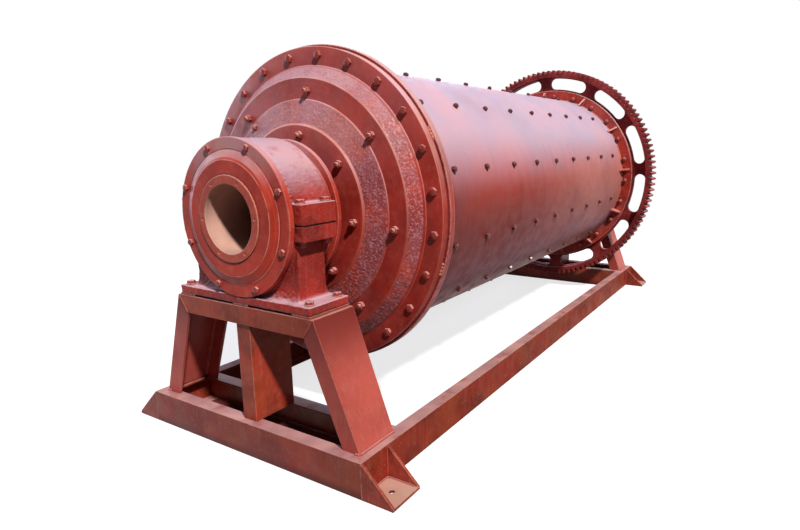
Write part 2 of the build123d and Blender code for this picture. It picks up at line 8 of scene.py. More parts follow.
import bmesh
import bpy
import numpy as np
from bpy.types import ID, Material, Mesh, Node, NodeSocket, NodeTree, Object
from mathutils import Matrix, Vector, noise


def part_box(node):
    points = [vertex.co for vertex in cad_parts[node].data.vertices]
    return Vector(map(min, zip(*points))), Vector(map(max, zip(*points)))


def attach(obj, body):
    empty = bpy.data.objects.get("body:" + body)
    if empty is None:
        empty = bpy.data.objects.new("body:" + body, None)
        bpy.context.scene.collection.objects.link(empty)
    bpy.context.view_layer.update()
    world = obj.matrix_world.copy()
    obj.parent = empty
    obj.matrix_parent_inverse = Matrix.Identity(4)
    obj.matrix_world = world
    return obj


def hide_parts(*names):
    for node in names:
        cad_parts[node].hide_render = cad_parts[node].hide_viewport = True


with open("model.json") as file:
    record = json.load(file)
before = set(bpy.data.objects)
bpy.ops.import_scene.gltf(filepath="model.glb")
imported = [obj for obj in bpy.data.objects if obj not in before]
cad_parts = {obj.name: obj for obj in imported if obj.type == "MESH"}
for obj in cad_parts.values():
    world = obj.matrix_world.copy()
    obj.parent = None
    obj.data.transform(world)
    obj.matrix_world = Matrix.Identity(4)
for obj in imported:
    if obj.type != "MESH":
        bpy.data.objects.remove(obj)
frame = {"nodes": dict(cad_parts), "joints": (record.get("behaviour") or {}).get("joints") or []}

LOG = logging.getLogger("ball_mill")

# Sockets of a colour Mix node, which are only told apart by number
COLOUR_A, COLOUR_B, COLOUR_OUT = 6, 7, 2

FEED, DRIVE = -1, 1
LEFT, RIGHT = 1, -1
END_NAMES = {FEED: "feed", DRIVE: "drive"}
SIDE_NAMES = {LEFT: "left", RIGHT: "right"}
WHITE, BLACK = "#ffffff", "#000000"


class Body(str, Enum):
    """Bodies of the mill that pieces ride on."""

    FRAME = "frame"
    DRUM = "drum"


class Slot(str, Enum):
    """Material slots of the record, one named for each new piece."""

    FRAME = "frame_paint"
    HOUSING = "housing_paint"
    HEAD = "head_paint"
    SHELL = "shell_paint"


class Skin(Enum):
    """How a stretch of a head's section was left, numbered as the head's finishes are."""

    TURNED = 0
    CAST = 1
    LIP = 2
    RIM = 3


class Run(Enum):
    """The way in which streaks in the paint run."""

    DOWN = "down the sides"
    ROUND = "round the drum"
    RINGS = "in rings on a turned face"


def to_linear(colour: str) -> tuple[float, float, float, float]:
    """Turns an sRGB hex colour into the linear colour that a shader socket takes.

    Args:
        colour: hex value such as "#9a4438".

    Returns:
        Red, green, blue and alpha, linear.
    """
    channels = [int(colour[start:start + 2], 16) / 255 for start in (1, 3, 5)]
    linear = [c / 12.92 if c <= 0.04045 else ((c + 0.055) / 1.055) ** 2.4 for c in channels]
    return (linear[0], linear[1], linear[2], 1.0)


def add_node(tree: NodeTree, kind: str, inputs: dict | None = None, **settings) -> Node:
    """Adds a node with its settings, values and links.

    Args:
        tree: node tree that takes the node.
        kind: Blender's name for the node's type.
        inputs: value, hex colour or output socket for each input, by its name or number.
        settings: properties of the node.

    Returns:
        The new node.
    """
    node = tree.nodes.new(kind)
    for name, value in settings.items():
        setattr(node, name, value)
    for key, value in (inputs or {}).items():
        if isinstance(value, NodeSocket):
            tree.links.new(value, node.inputs[key])
        else:
            node.inputs[key].default_value = to_linear(value) if isinstance(value, str) else value
    return node


def add_object(name: str, data: ID) -> Object:
    """Adds an object to the scene.

    Args:
        name: name of the object.
        data: its mesh, light or camera.

    Returns:
        The new object.
    """
    made = bpy.data.objects.new(name, data)
    bpy.context.scene.collection.objects.link(made)
    return made


def placement(origin: Vector, x_axis: Vector, z_axis: Vector) -> Matrix:
    """Matrix that moves a piece from local axes to its place.

    Args:
        origin: point that the local origin goes to.
        x_axis: unit vector that local X goes to.
        z_axis: unit vector that local Z goes to.

    Returns:
        The placement.
    """
    turned = Matrix((x_axis, z_axis.cross(x_axis), z_axis)).transposed().to_4x4()
    turned.translation = origin
    return turned


@dataclass(frozen=True)
class Axle:
    """The mill's axle, by which places on the drum and the bearings are set out, in millimetres."""

    height: float = frame["joints"][0]["pos_m"][2] * 1000

    def point(self, along: float, radius: float, turn: float) -> Vector:
        """Point by its length along the axle, its radius and its turn from the top towards the right."""
        angle = radians(turn)
        return Vector((along, -radius * sin(angle), self.height + radius * cos(angle)))

    def outward(self, turn: float) -> Vector:
        """Unit vector straight out from the axle at a turn."""
        return self.point(0, 1, turn) - self.point(0, 0, turn)

    def endways(self, along: float, radius: float, turn: float, end: int) -> Matrix:
        """Placement whose local Z points along the axle to one end."""
        return placement(self.point(along, radius, turn), self.outward(turn), Vector((end, 0, 0)))

    def outwards(self, along: float, radius: float, turn: float) -> Matrix:
        """Placement whose local Z points straight out from the axle."""
        return placement(self.point(along, radius, turn), Vector((1, 0, 0)), self.outward(turn))


AXLE = Axle()


def corner(node: str, high: bool) -> Vector:
    """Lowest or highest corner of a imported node, in millimetres."""
    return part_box(node)[int(high)] * 1000


class Canvas:
    """Node tree of one material, with the sockets and masks that its coats are drawn from."""

    def __init__(self, tree: NodeTree) -> None:
        """Starts with the place on the object, in metres.

        Args:
            tree: the material's empty node tree.
        """
        self.tree = tree
        self.ground = add_node(tree, "ShaderNodeTexCoord")
        self.place = self.ground.outputs["Object"]

    @cached_property
    def axes(self) -> list[NodeSocket]:
        """The place's three lengths in metres: along the mill, across it and up."""
        return list(add_node(self.tree, "ShaderNodeSeparateXYZ", {0: self.place}).outputs)

    @cached_property
    def slant(self) -> NodeSocket:
        """How far the surface faces up: 1 on level tops, 0 on sides and -1 underneath."""
        return add_node(self.tree, "ShaderNodeSeparateXYZ", {0: self.ground.outputs["Normal"]}).outputs["Z"]

    @cached_property
    def rise(self) -> NodeSocket:
        """Height above the axle, in metres."""
        levels = {0: self.axes[2], 1: AXLE.height / 1000}
        return add_node(self.tree, "ShaderNodeMath", levels, operation="SUBTRACT").outputs[0]

    @cached_property
    def radius(self) -> NodeSocket:
        """Distance from the axle.

        Returns:
            Socket with the distance in metres.
        """
        flat = {"X": self.axes[1], "Y": self.rise, "Z": 0.0}
        arm = {0: add_node(self.tree, "ShaderNodeCombineXYZ", flat).outputs[0]}
        return add_node(self.tree, "ShaderNodeVectorMath", arm, operation="LENGTH").outputs["Value"]

    def product(self, *factors: NodeSocket | float) -> NodeSocket | float:
        """Multiplies masks and shares.

        Args:
            factors: sockets and plain numbers.

        Returns:
            Socket with their product, or a single factor as it is.
        """
        total = factors[0]
        for factor in factors[1:]:
            pair = {0: total, 1: factor}
            total = add_node(self.tree, "ShaderNodeMath", pair, operation="MULTIPLY").outputs[0]
        return total

    def grown(self, value: NodeSocket, start: float, full: float) -> NodeSocket:
        """Mask that grows softly from the value at which it starts to the one at which it is full."""
        ramp = {"Value": value, "From Min": start, "From Max": full}
        return add_node(self.tree, "ShaderNodeMapRange", ramp, interpolation_type="SMOOTHSTEP").outputs[0]

    def upward(self, start: float, full: float) -> NodeSocket:
        """Mask that grows as the surface turns from one upward slant to another."""
        return self.grown(self.slant, start, full)

    def near(self, value: NodeSocket, middle: float, width: float) -> NodeSocket:
        """Mask of a narrow line or ring.

        Args:
            value: socket with a length in metres.
            middle: length in millimetres at which the mask is full.
            width: how far from the middle it ends, in millimetres.

        Returns:
            Socket with the mask, from 0 to 1.
        """
        full_share = 0.4
        off = add_node(self.tree, "ShaderNodeMath", {0: value, 1: middle / 1000}, operation="SUBTRACT")
        away = add_node(self.tree, "ShaderNodeMath", {0: off.outputs[0]}, operation="ABSOLUTE").outputs[0]
        return self.grown(away, width / 1000, width / 1000 * full_share)

    def noise(self, size: float, detail: float, place: NodeSocket | None = None) -> NodeSocket:
        """Soft noise of about one size in millimetres, at the place itself or at a stretched one."""
        scale = {"Vector": self.place if place is None else place, "Scale": 1000 / size, "Detail": detail}
        return add_node(self.tree, "ShaderNodeTexNoise", scale).outputs["Fac"]

    def patches(
        self, size: float, low: float, high: float, detail: float = 3.0, place: NodeSocket | None = None
    ) -> NodeSocket:
        """Mask of soft irregular patches of about one size.

        Args:
            size: size of a patch in millimetres.
            low: noise value at which the mask starts.
            high: noise value at which it is full.
            detail: how many finer octaves break the patches up.
            place: stretched place that draws them out, or none for round ones.

        Returns:
            Socket with the mask, from 0 to 1.
        """
        return self.grown(self.noise(size, detail, place), low, high)

    def stretched(self, *shares: float) -> NodeSocket:
        """Place that draws patches out along the axes whose share is small.

        Args:
            shares: share of the length along the mill, across it and up.

        Returns:
            Socket with the stretched place.
        """
        lengths = [self.product(length, share) for length, share in zip(self.axes, shares)]
        return add_node(self.tree, "ShaderNodeCombineXYZ", dict(enumerate(lengths))).outputs[0]

    def layered(self, ground: str | NodeSocket, coats: list[tuple]) -> NodeSocket:
        """Lays coats of colour over a ground.

        Args:
            ground: colour underneath, as a hex value or a socket.
            coats: from the lowest up, the colour of each and then the masks and shares by which it covers.

        Returns:
            Socket with the colour on top.
        """
        top = ground
        for colour, *factors in coats:
            inputs = {0: self.product(*factors), COLOUR_A: top, COLOUR_B: colour}
            top = add_node(self.tree, "ShaderNodeMix", inputs, data_type="RGBA").outputs[COLOUR_OUT]
        return top


class Finish:
    """A finish that makes its material once and gives it again after that."""

    name: str

    def material(self) -> Material:
        """The finish's material.

        Returns:
            The material of that name, made if it isn't there yet.
        """
        known = bpy.data.materials.get(self.name)
        if known:
            return known
        made = bpy.data.materials.new(self.name)
        made.use_nodes = True
        made.node_tree.nodes.clear()
        shader = self.shader(Canvas(made.node_tree))
        add_node(made.node_tree, "ShaderNodeOutputMaterial", {"Surface": shader.outputs[0]})
        return made

    def shader(self, canvas: Canvas) -> Node:
        """The finish's surface shader."""
        raise NotImplementedError


@dataclass
class Shape:
    """Closed surfaces kept as one list of points and one of faces, in millimetres."""

    points: list[np.ndarray] = field(default_factory=list)
    faces: list[tuple[int, ...]] = field(default_factory=list)
    count: int = 0

    def skin(self, rings: np.ndarray, looped: bool = False) -> "Shape":
        """Skins a row of equal rings of points.

        Args:
            rings: points as rows, ring by ring.
            looped: whether the last ring meets the first, or both ends are capped.

        Returns:
            This shape.
        """
        rows, sides, _ = rings.shape
        index = np.arange(rows * sides).reshape(rows, sides) + self.count
        here = index if looped else index[:-1]
        above = np.roll(index, -1, axis=0)[:len(here)]
        quads = np.stack((here, np.roll(here, -1, axis=1), np.roll(above, -1, axis=1), above), axis=-1)
        self.faces += [tuple(quad) for quad in quads.reshape(-1, 4).tolist()]
        if not looped:
            self.faces += [tuple(reversed(index[0].tolist())), tuple(index[-1].tolist())]
        self.points.append(rings.reshape(-1, 3))
        self.count += rows * sides
        return self

    def place(self, other: "Shape", matrix: Matrix = Matrix()) -> None:
        """Adds a copy of another shape.

        Args:
            other: shape that is copied.
            matrix: placement of the copy.
        """
        turned = np.array(matrix)
        for points in other.points:
            self.points.append(points @ turned[:3, :3].T + turned[:3, 3])
        self.faces += [tuple(index + self.count for index in face) for face in other.faces]
        self.count += other.count

    def piece(self, name: str, body: Body, slot: Slot, *finishes: Finish, sharp: float = 35.0) -> Object:
        """Makes the Blender object of this shape.

        Args:
            name: name of the piece.
            body: body that it rides on.
            slot: slot of the record named for it, which add_piece does not use.
            finishes: finishes of its surface.
            sharp: angle in degrees above which an edge stays sharp.

        Returns:
            The new object.
        """
        mesh = bpy.data.meshes.new(name)
        mesh.from_pydata((np.concatenate(self.points) / 1000).tolist(), [], self.faces)
        shell = bmesh.new()
        shell.from_mesh(mesh)
        bmesh.ops.recalc_face_normals(shell, faces=shell.faces)
        shell.to_mesh(mesh)
        shell.free()
        mesh.shade_smooth()
        mesh.set_sharp_from_angle(angle=radians(sharp))
        return add_piece(name, mesh, body, slot, *finishes)


def add_piece(name: str, mesh: Mesh, body: Body, slot: Slot, *finishes: Finish) -> Object:
    """Makes the Blender object of a mesh and lets it ride on its body.

    Args:
        name: name of the piece.
        mesh: its mesh, in metres.
        body: body that it rides on.
        slot: not used.
        finishes: finishes of its surface.

    Returns:
        The new object.
    """
    mesh.materials.clear()
    for finish in finishes:
        mesh.materials.append(finish.material())
    made = add_object(name, mesh)
    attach(made, body.value)
    LOG.info("%s: %d faces on %s", name, len(mesh.polygons), body.value)
    return made


def ring(radius: float | np.ndarray, height: float | np.ndarray, sides: int) -> np.ndarray:
    """Ring of points round local Z.

    Args:
        radius: one radius, or one for each point.
        height: one height, or one for each point.
        sides: points round the ring.

    Returns:
        The points as rows.
    """
    angle = np.arange(sides) * 2 * pi / sides
    radii = np.broadcast_to(radius, sides)
    return np.stack((radii * np.cos(angle), radii * np.sin(angle), np.broadcast_to(height, sides)), axis=-1)


def turned_solid(profile: list[tuple], sides: int, looped: bool = False) -> Shape:
    """Solid turned about local Z from pairs of radius and height, looped where it is a ring as a washer is."""
    return Shape().skin(np.stack([ring(radius, height, sides) for radius, height in profile]), looped)


@dataclass(frozen=True)
class Thread:
    """One size of the coarse metric series with its hexagon and washer, in millimetres."""

    diameter: float
    pitch: float
    flats: float
    head: float
    nut: float
    washer_radius: float
    washer: float = 3.0
    washer_clearance: float = 1.0
    washer_edge: float = 0.6
    thread_depth: float = 0.61
    tip_turns: float = 0.4
    tip_taper: float = 0.4
    crest_break: float = 0.3
    end_turns: float = 2.4
    shank_overlap: float = 0.5
    thread_overlap: float = 0.6
    sides: int = 24
    shank_sides: int = 16
    chamfer_slope: float = 0.577
    chamfer_share: float = 0.94

    def hexagon(self, start: float, height: float, both: bool) -> Shape:
        """Hexagon with its corners turned off at the top, or at both ends as on a nut.

        Args:
            start: height of its underside.
            height: its own height.
            both: whether the underside is chamfered too.

        Returns:
            The hexagon.
        """
        angle = np.arange(self.sides) * 2 * pi / self.sides
        sixth = pi / 3
        outline = self.flats / 2 / np.cos((angle + sixth / 2) % sixth - sixth / 2)
        crown = self.chamfer_share * self.flats / 2
        fall = (outline - crown) * self.chamfer_slope
        rows = [(outline, start + height - fall), (crown, start + height)]
        rows = [(crown, start), (outline, start + fall)] + rows if both else [(outline, start)] + rows
        return turned_solid(rows, self.sides)

    def washer_ring(self, start: float) -> Shape:
        """Flat washer with a broken outer edge.

        Args:
            start: height of its underside.

        Returns:
            The washer.
        """
        inner = self.diameter / 2 + self.washer_clearance
        outer = self.washer_radius
        top = start + self.washer
        broken = [(outer, top - self.washer_edge), (outer - self.washer_edge, top)]
        return turned_solid([(inner, start), (outer, start), *broken, (inner, top)], self.sides, looped=True)

    def screw_end(self, start: float, length: float) -> Shape:
        """Threaded end with a chamfered tip; the thread is drawn as plain grooves, one for each turn.

        Args:
            start: height at which it starts.
            length: its length with the tip.

        Returns:
            The threaded end.
        """
        crest = self.diameter / 2
        root = crest - self.thread_depth * self.pitch
        turns = max(1, int((length - self.pitch) / self.pitch))
        profile = [(root, start)]
        for turn in range(turns):
            profile.append((crest, start + (turn + 0.5) * self.pitch))
            profile.append((root, start + (turn + 1) * self.pitch))
        profile.append((crest - self.crest_break, start + (turns + self.tip_turns) * self.pitch))
        profile.append((root - self.tip_taper, start + length))
        return turned_solid(profile, self.shank_sides)

    def shank(self, start: float, top: float, slack: float = 0.2) -> Shape:
        """Plain shank, thinner than the thread's nominal size by a little slack."""
        radius = self.diameter / 2 - slack
        return turned_solid([(radius, start), (radius, top)], self.shank_sides)

    def bolt(self, grip: float, washer: bool) -> Shape:
        """Bolt seen from its head, seated on local Z = 0, with its shank through the grip and a nut behind.

        Args:
            grip: thickness of what it holds.
            washer: whether the head sits on a washer.

        Returns:
            Head, shank, nut and screw end.
        """
        shape = Shape()
        seat = self.washer if washer else 0.0
        if washer:
            shape.place(self.washer_ring(0))
        shape.place(self.hexagon(seat, self.head, both=False))
        shape.place(self.shank(-grip, seat + self.shank_overlap))
        flipped = Matrix.Translation((0, 0, -grip)) @ Matrix.Rotation(pi, 4, "X")
        shape.place(self.hexagon(0, self.nut, both=True), flipped)
        shape.place(self.screw_end(self.nut - self.shank_overlap, self.end_turns * self.pitch), flipped)
        return shape

    def stud(self, proud: float, depth: float) -> Shape:
        """Stud with a nut, seated on local Z = 0.

        Args:
            proud: how far the stud's tip stands out.
            depth: how far the stud reaches into what it holds.

        Returns:
            Nut and stud.
        """
        shape = Shape()
        shape.place(self.hexagon(0, self.nut, both=True))
        start = self.nut - self.thread_overlap
        shape.place(self.shank(-depth, self.nut - self.shank_overlap))
        shape.place(self.screw_end(start, proud - start))
        return shape

    def screw(self, depth: float) -> Shape:
        """Screw with a hexagon head, seated on local Z = 0.

        Args:
            depth: how far it reaches into what it holds.

        Returns:
            Head and shank.
        """
        shape = Shape()
        shape.place(self.hexagon(0, self.head, both=False))
        shape.place(self.shank(-depth, self.shank_overlap, slack=0.0))
        return shape


M20 = Thread(diameter=20, pitch=2.5, flats=30, head=12.5, nut=17, washer_radius=18.5)
M16 = Thread(diameter=16, pitch=2, flats=24, head=10, nut=14, washer_radius=15)


@dataclass(frozen=True)
class OxidePrimer(Finish):
    """Red oxide primer, an alkyd paint sprayed straight on to steel and castings.

    It dries to a soft semi-gloss brick red that the sky lightens at a glance.  The film is uneven, with darker
    runs and paler parts of dust and painted sky light, and what lies under it gives the grain: rolled plate,
    sand casting or a cut.  Painted shade darkens its corners, and painted highlights lighten its edges.
    Sizes are in millimetres and levels in metres.  The film's own orange peel, under a millimetre, is too fine
    to show and is drawn 3 mm wide.
    """

    name: str
    # Colours of the film, its dark and pale parts and its dust with painted sky light, and of the dirt,
    # painted shade and stains on it
    base: str = "#b5493c"
    deep: str = "#8a2c22"
    pale: str = "#d58c82"
    dust_and_sky_colour: str = "#cfa0a4"
    dust_and_sky_warm: str = "#d9a8a6"
    dust_and_sky_cloud: float = 150.0
    grime_and_shade: str = "#3c1612"
    stain: str = "#9a6a4a"
    # Gloss, with a thin cool sheen from the sky
    roughness: float = 0.38
    smoothest: float = -0.07
    roughest: float = 0.1
    ior: float = 1.45
    specular: float = 0.2
    sheen: float = 0.1
    sheen_roughness: float = 0.35
    sheen_tint: str = "#a9b4ff"
    # Dark blotches, stains and streaks
    blotch: float = 160.0
    deepening: float = 0.7
    stain_size: float = 320.0
    stain_share: float = 0.0
    run: Run = Run.DOWN
    run_width: float = 14.0
    run_length: float = 22.0
    run_share: float = 0.12
    # Dust with painted sky light on what faces up
    dust_and_sky: float = 0.45
    dust_and_sky_from: float = 0.25
    dust_and_sky_full: float = 0.95
    dust_and_sky_patch: float = 90.0
    dust_and_sky_least: float = 0.0
    # Painted sky light on what lies high round the axle
    sky_light_share: float = 0.0
    sky_from: float = 0.1
    sky_full: float = 0.9
    sky_radius: float = 0.0
    sky_patch: float = 130.0
    # Shade on what faces down, from and to an upward slant
    shade: str = "#5a2422"
    shade_share: float = 0.0
    shade_from: float = 0.45
    shade_full: float = -0.25
    # Specks of painted highlight and painted shade for a casting's grain, flecks, chips and pinholes
    grain_light_and_shade: float = 0.0
    grain_light_and_shade_size: float = 7.0
    shaded_pit_size: float = 0.8
    fleck_share: float = 0.12
    chip: float = 8.0
    chip_share: float = 0.0
    pinhole: float = 5.0
    pinhole_share: float = 0.5
    # Relief of what is painted
    grain: float = 3.0
    grain_height: float = 0.12
    wave: float = 45.0
    wave_height: float = 0.25
    # Worn edges with painted highlights, by how alike the true and the rounded normal are, and corners
    # darkened by dirt and painted shade, by how open they are
    edge: float = 4.5
    edge_share: float = 0.85
    edge_patch: float = 18.0
    edge_alike: tuple[float, float] = (0.995, 0.85)
    corner: float = 22.0
    corner_share: float = 0.7
    corner_open: tuple[float, float] = (0.75, 0.25)
    # Darkening by height above the ground
    dark_from: float = 0.4
    dark_full: float = 0.62
    dark_share: float = 0.0

    def shader(self, canvas: Canvas) -> Node:
        """Layers the paint's tones, corners darkened by dirt and painted shade, and worn edges with painted
        highlights over its grain.

        Args:
            canvas: node tree of the material.

        Returns:
            The paint's shader.
        """
        rounded = add_node(canvas.tree, "ShaderNodeBevel", {"Radius": self.edge / 1000}, samples=4).outputs[0]
        film = {"Height": self.relief(canvas), "Distance": 0.001, "Normal": rounded, "Strength": 1.0}
        bump = add_node(canvas.tree, "ShaderNodeBump", film)
        # Corners darkened by dirt and painted shade, and pale worn edges that carry a painted highlight
        broken = canvas.patches(self.edge_patch, low=0.25, high=0.55)
        coats = [(self.grime_and_shade, self.corners(canvas)), (self.pale, self.edges(canvas, rounded), broken)]
        rough = canvas.patches(self.blotch / 3, low=0.3, high=0.7)
        low, high = self.roughness + self.smoothest, self.roughness + self.roughest
        shine = {"Value": rough, "To Min": low, "To Max": high}
        inputs = {
            "Base Color": canvas.layered(self.tones(canvas), coats),
            "Roughness": add_node(canvas.tree, "ShaderNodeMapRange", shine).outputs[0],
            "IOR": self.ior,
            "Specular IOR Level": self.specular,
            "Sheen Weight": self.sheen,
            "Sheen Roughness": self.sheen_roughness,
            "Sheen Tint": self.sheen_tint,
            "Normal": bump.outputs[0],
        }
        return add_node(canvas.tree, "ShaderNodeBsdfPrincipled", inputs)

    def tones(self, canvas: Canvas) -> NodeSocket:
        """Colour of the paint before its corners and edges.

        Args:
            canvas: node tree of the material.

        Returns:
            Socket with the colour.
        """
        coats = [
            (self.deep, canvas.patches(self.blotch, low=0.36, high=0.66), self.deepening),
            (self.pale, canvas.patches(self.blotch / 5, low=0.45, high=0.8), self.fleck_share),
            (self.stain, canvas.patches(self.stain_size, low=0.4, high=0.62), self.stain_share),
            (self.pale, self.runs(canvas), self.run_share),
            (self.grime_and_shade, canvas.patches(self.pinhole, low=0.66, high=0.74, detail=1.0), self.pinhole_share),
        ]
        # Specks of a casting's grain: painted highlights on its grains and painted shade in its pits
        if self.grain_light_and_shade:
            lit_specks = canvas.patches(self.grain_light_and_shade_size, low=0.5, high=0.62, detail=2.0)
            shaded_pit = self.grain_light_and_shade_size * self.shaded_pit_size
            shaded_pits = canvas.patches(shaded_pit, low=0.36, high=0.3, detail=2.0)
            coats += [(self.dust_and_sky_colour, lit_specks, self.grain_light_and_shade), (self.grime_and_shade, shaded_pits, self.grain_light_and_shade)]
        if self.chip_share:
            coats.append((self.pale, canvas.patches(self.chip, low=0.66, high=0.72), self.chip_share))
        coats += self.own_coats(canvas)
        coats.append((self.shade, canvas.upward(self.shade_from, self.shade_full), self.shade_share))
        # Dust with painted sky light, in warm and cool clouds, on what faces up
        warm = canvas.patches(self.dust_and_sky_cloud, low=0.3, high=0.75, detail=2.0)
        dust_and_sky_colour = canvas.layered(self.dust_and_sky_colour, [(self.dust_and_sky_warm, warm)])
        clouds = canvas.patches(self.dust_and_sky_patch, low=0.15, high=0.5, detail=5.0)
        settled = add_node(canvas.tree, "ShaderNodeMapRange", {"Value": clouds, "To Min": self.dust_and_sky_least})
        coats.append((dust_and_sky_colour, canvas.upward(self.dust_and_sky_from, self.dust_and_sky_full), settled.outputs[0], self.dust_and_sky))
        # Darker by height; on the stand legs this is painted shade on their upper part
        if self.dark_share:
            by_level = canvas.grown(canvas.axes[2], self.dark_from, self.dark_full)
            coats.append((self.deep, by_level, self.dark_share))
        # Painted sky light on the tops of round parts
        if self.sky_light_share:
            clouded = canvas.patches(self.sky_patch, low=0.1, high=0.6, detail=4.0)
            coats.append((dust_and_sky_colour, self.sky_share(canvas), clouded, self.sky_light_share))
        return canvas.layered(self.base, coats)

    def own_coats(self, canvas: Canvas) -> list[tuple]:
        """Coats that only this finish has."""
        return []

    def sky_share(self, canvas: Canvas) -> NodeSocket:
        """Mask that grows towards the top of what is round about the axle, where painted sky light lies.

        Args:
            canvas: node tree of the material.

        Returns:
            Socket with the mask, from 0 to 1.
        """
        arm = {0: canvas.rise, 1: canvas.radius}
        sine = add_node(canvas.tree, "ShaderNodeMath", arm, operation="DIVIDE").outputs[0]
        limit = {0: canvas.radius, 1: self.sky_radius / 1000}
        beyond = add_node(canvas.tree, "ShaderNodeMath", limit, operation="GREATER_THAN").outputs[0]
        return canvas.product(canvas.grown(sine, self.sky_from, self.sky_full), beyond)

    def corners(self, canvas: Canvas) -> NodeSocket:
        """Mask of inside corners, where dirt gathers and painted shade darkens them.

        Args:
            canvas: node tree of the material.

        Returns:
            Socket with the mask, from 0 to the corners' share.
        """
        reach = {"Distance": self.corner / 1000}
        open_share = add_node(canvas.tree, "ShaderNodeAmbientOcclusion", reach, samples=6).outputs["AO"]
        return canvas.product(canvas.grown(open_share, *self.corner_open), self.corner_share)

    def runs(self, canvas: Canvas) -> NodeSocket:
        """Mask of streaks that are narrow across their run and long along it.

        Args:
            canvas: node tree of the material.

        Returns:
            Socket with the mask, from 0 to 1.
        """
        long = 1 / self.run_length
        if self.run is Run.RINGS:
            rings = {"X": canvas.radius, "Y": canvas.product(canvas.axes[0], long), "Z": 0.0}
            place = add_node(canvas.tree, "ShaderNodeCombineXYZ", rings).outputs[0]
        else:
            place = canvas.stretched(1.0, long if self.run is Run.ROUND else 1.0, long)
        return canvas.patches(self.run_width, low=0.5, high=0.72, detail=2.0, place=place)

    def relief(self, canvas: Canvas) -> NodeSocket:
        """Relief of the surface: the grain of what is painted and a slow waviness.

        Args:
            canvas: node tree of the material.

        Returns:
            Socket with the height in millimetres.
        """
        fine = canvas.product(canvas.noise(self.grain, 2.0), self.grain_height)
        slow = canvas.product(canvas.noise(self.wave, 2.0), self.wave_height)
        return add_node(canvas.tree, "ShaderNodeMath", {0: fine, 1: slow}, operation="ADD").outputs[0]

    def edges(self, canvas: Canvas, rounded: NodeSocket) -> NodeSocket:
        """Mask of edges, where the film is worn thin and a painted highlight lightens it.

        Args:
            canvas: node tree of the material.
            rounded: normal of the surface as if its edges were rounded.

        Returns:
            Socket with the mask, from 0 to the edges' share.
        """
        normals = {0: rounded, 1: add_node(canvas.tree, "ShaderNodeNewGeometry").outputs["Normal"]}
        alike = add_node(canvas.tree, "ShaderNodeVectorMath", normals, operation="DOT_PRODUCT")
        return canvas.product(canvas.grown(alike.outputs["Value"], *self.edge_alike), self.edge_share)


@dataclass(frozen=True)
class ShellPrimer(OxidePrimer):
    """The same primer on the drum's shell, with a long rubbed part, soft bands and a painted reflection on the
    sides towards the drive end.

    Each stretch of the drum is given by the two lengths, in metres, between which its mask grows.
    """

    rubbed: str = "#ca4f3e"
    rubbed_share: float = 0.85
    rubbed_start: tuple[float, float] = (-1.34, -1.08)
    rubbed_end: tuple[float, float] = (1.2, -0.1)
    # Painted reflection that lightens the sides towards the drive end
    far_reflection: str = "#dc938a"
    far_reflection_share: float = 0.55
    far_reflection_start: tuple[float, float] = (-0.6, 0.9)
    far_reflection_slant: tuple[float, float] = (0.5, 0.1)
    band: float = 75.0
    band_draw: float = 0.12
    banded: str = "#6a3339"
    banded_share: float = 0.5
    cloud: float = 420.0

    def own_coats(self, canvas: Canvas) -> list[tuple]:
        """Red part that is rubbed bright, then darker bands round the drum.

        Args:
            canvas: node tree of the material.

        Returns:
            Both coats.
        """
        rubbed = [canvas.grown(canvas.axes[0], *stretch) for stretch in (self.rubbed_start, self.rubbed_end)]
        drawn = canvas.stretched(1.0, self.band_draw, self.band_draw)
        bands = canvas.patches(self.band, low=0.45, high=0.75, detail=4.0, place=drawn)
        return [
            (self.rubbed, *rubbed, self.clouds(canvas), self.rubbed_share),
            (self.banded, bands, self.banded_share),
        ]

    def clouds(self, canvas: Canvas) -> NodeSocket:
        """Mask of broad uneven clouds."""
        return canvas.patches(self.cloud, low=0.2, high=0.55, detail=4.0)

    def tones(self, canvas: Canvas) -> NodeSocket:
        """Paint with a painted reflection on the sides that grows towards the drive end.

        Args:
            canvas: node tree of the material.

        Returns:
            Socket with the colour.
        """
        far = canvas.grown(canvas.axes[0], *self.far_reflection_start)
        sides = canvas.upward(*self.far_reflection_slant)
        dust_and_sky = (self.far_reflection, far, self.clouds(canvas), sides, self.far_reflection_share)
        return canvas.layered(super().tones(canvas), [dust_and_sky])


@dataclass(frozen=True)
class MouthPrimer(OxidePrimer):
    """The same primer on the trunnion, whose unpainted bore is dusted tan by what was run through it."""

    bore: str = "#c69f92"
    bore_patch: float = 70.0
    bore_patch_share: float = 0.3
    # Painted shade that darkens the bore deeper in
    bore_shade: str = "#5c3b31"
    bore_shade_depth: tuple[float, float] = (1.8, 1.5)
    bore_radius: float = 134.5

    def tones(self, canvas: Canvas) -> NodeSocket:
        """Paint outside, dusty steel in the bore with painted shade deeper in.

        Args:
            canvas: node tree of the material.

        Returns:
            Socket with the colour.
        """
        limit = {0: canvas.radius, 1: self.bore_radius / 1000}
        inside = add_node(canvas.tree, "ShaderNodeMath", limit, operation="LESS_THAN").outputs[0]
        reach = add_node(canvas.tree, "ShaderNodeMath", {0: canvas.axes[0]}, operation="ABSOLUTE").outputs[0]
        dusty = canvas.patches(self.bore_patch, low=0.35, high=0.7, detail=5.0)
        coats = [
            (self.pale, dusty, self.bore_patch_share),
            (self.bore_shade, canvas.grown(reach, *self.bore_shade_depth)),
        ]
        return canvas.layered(super().tones(canvas), [(canvas.layered(self.bore, coats), inside)])


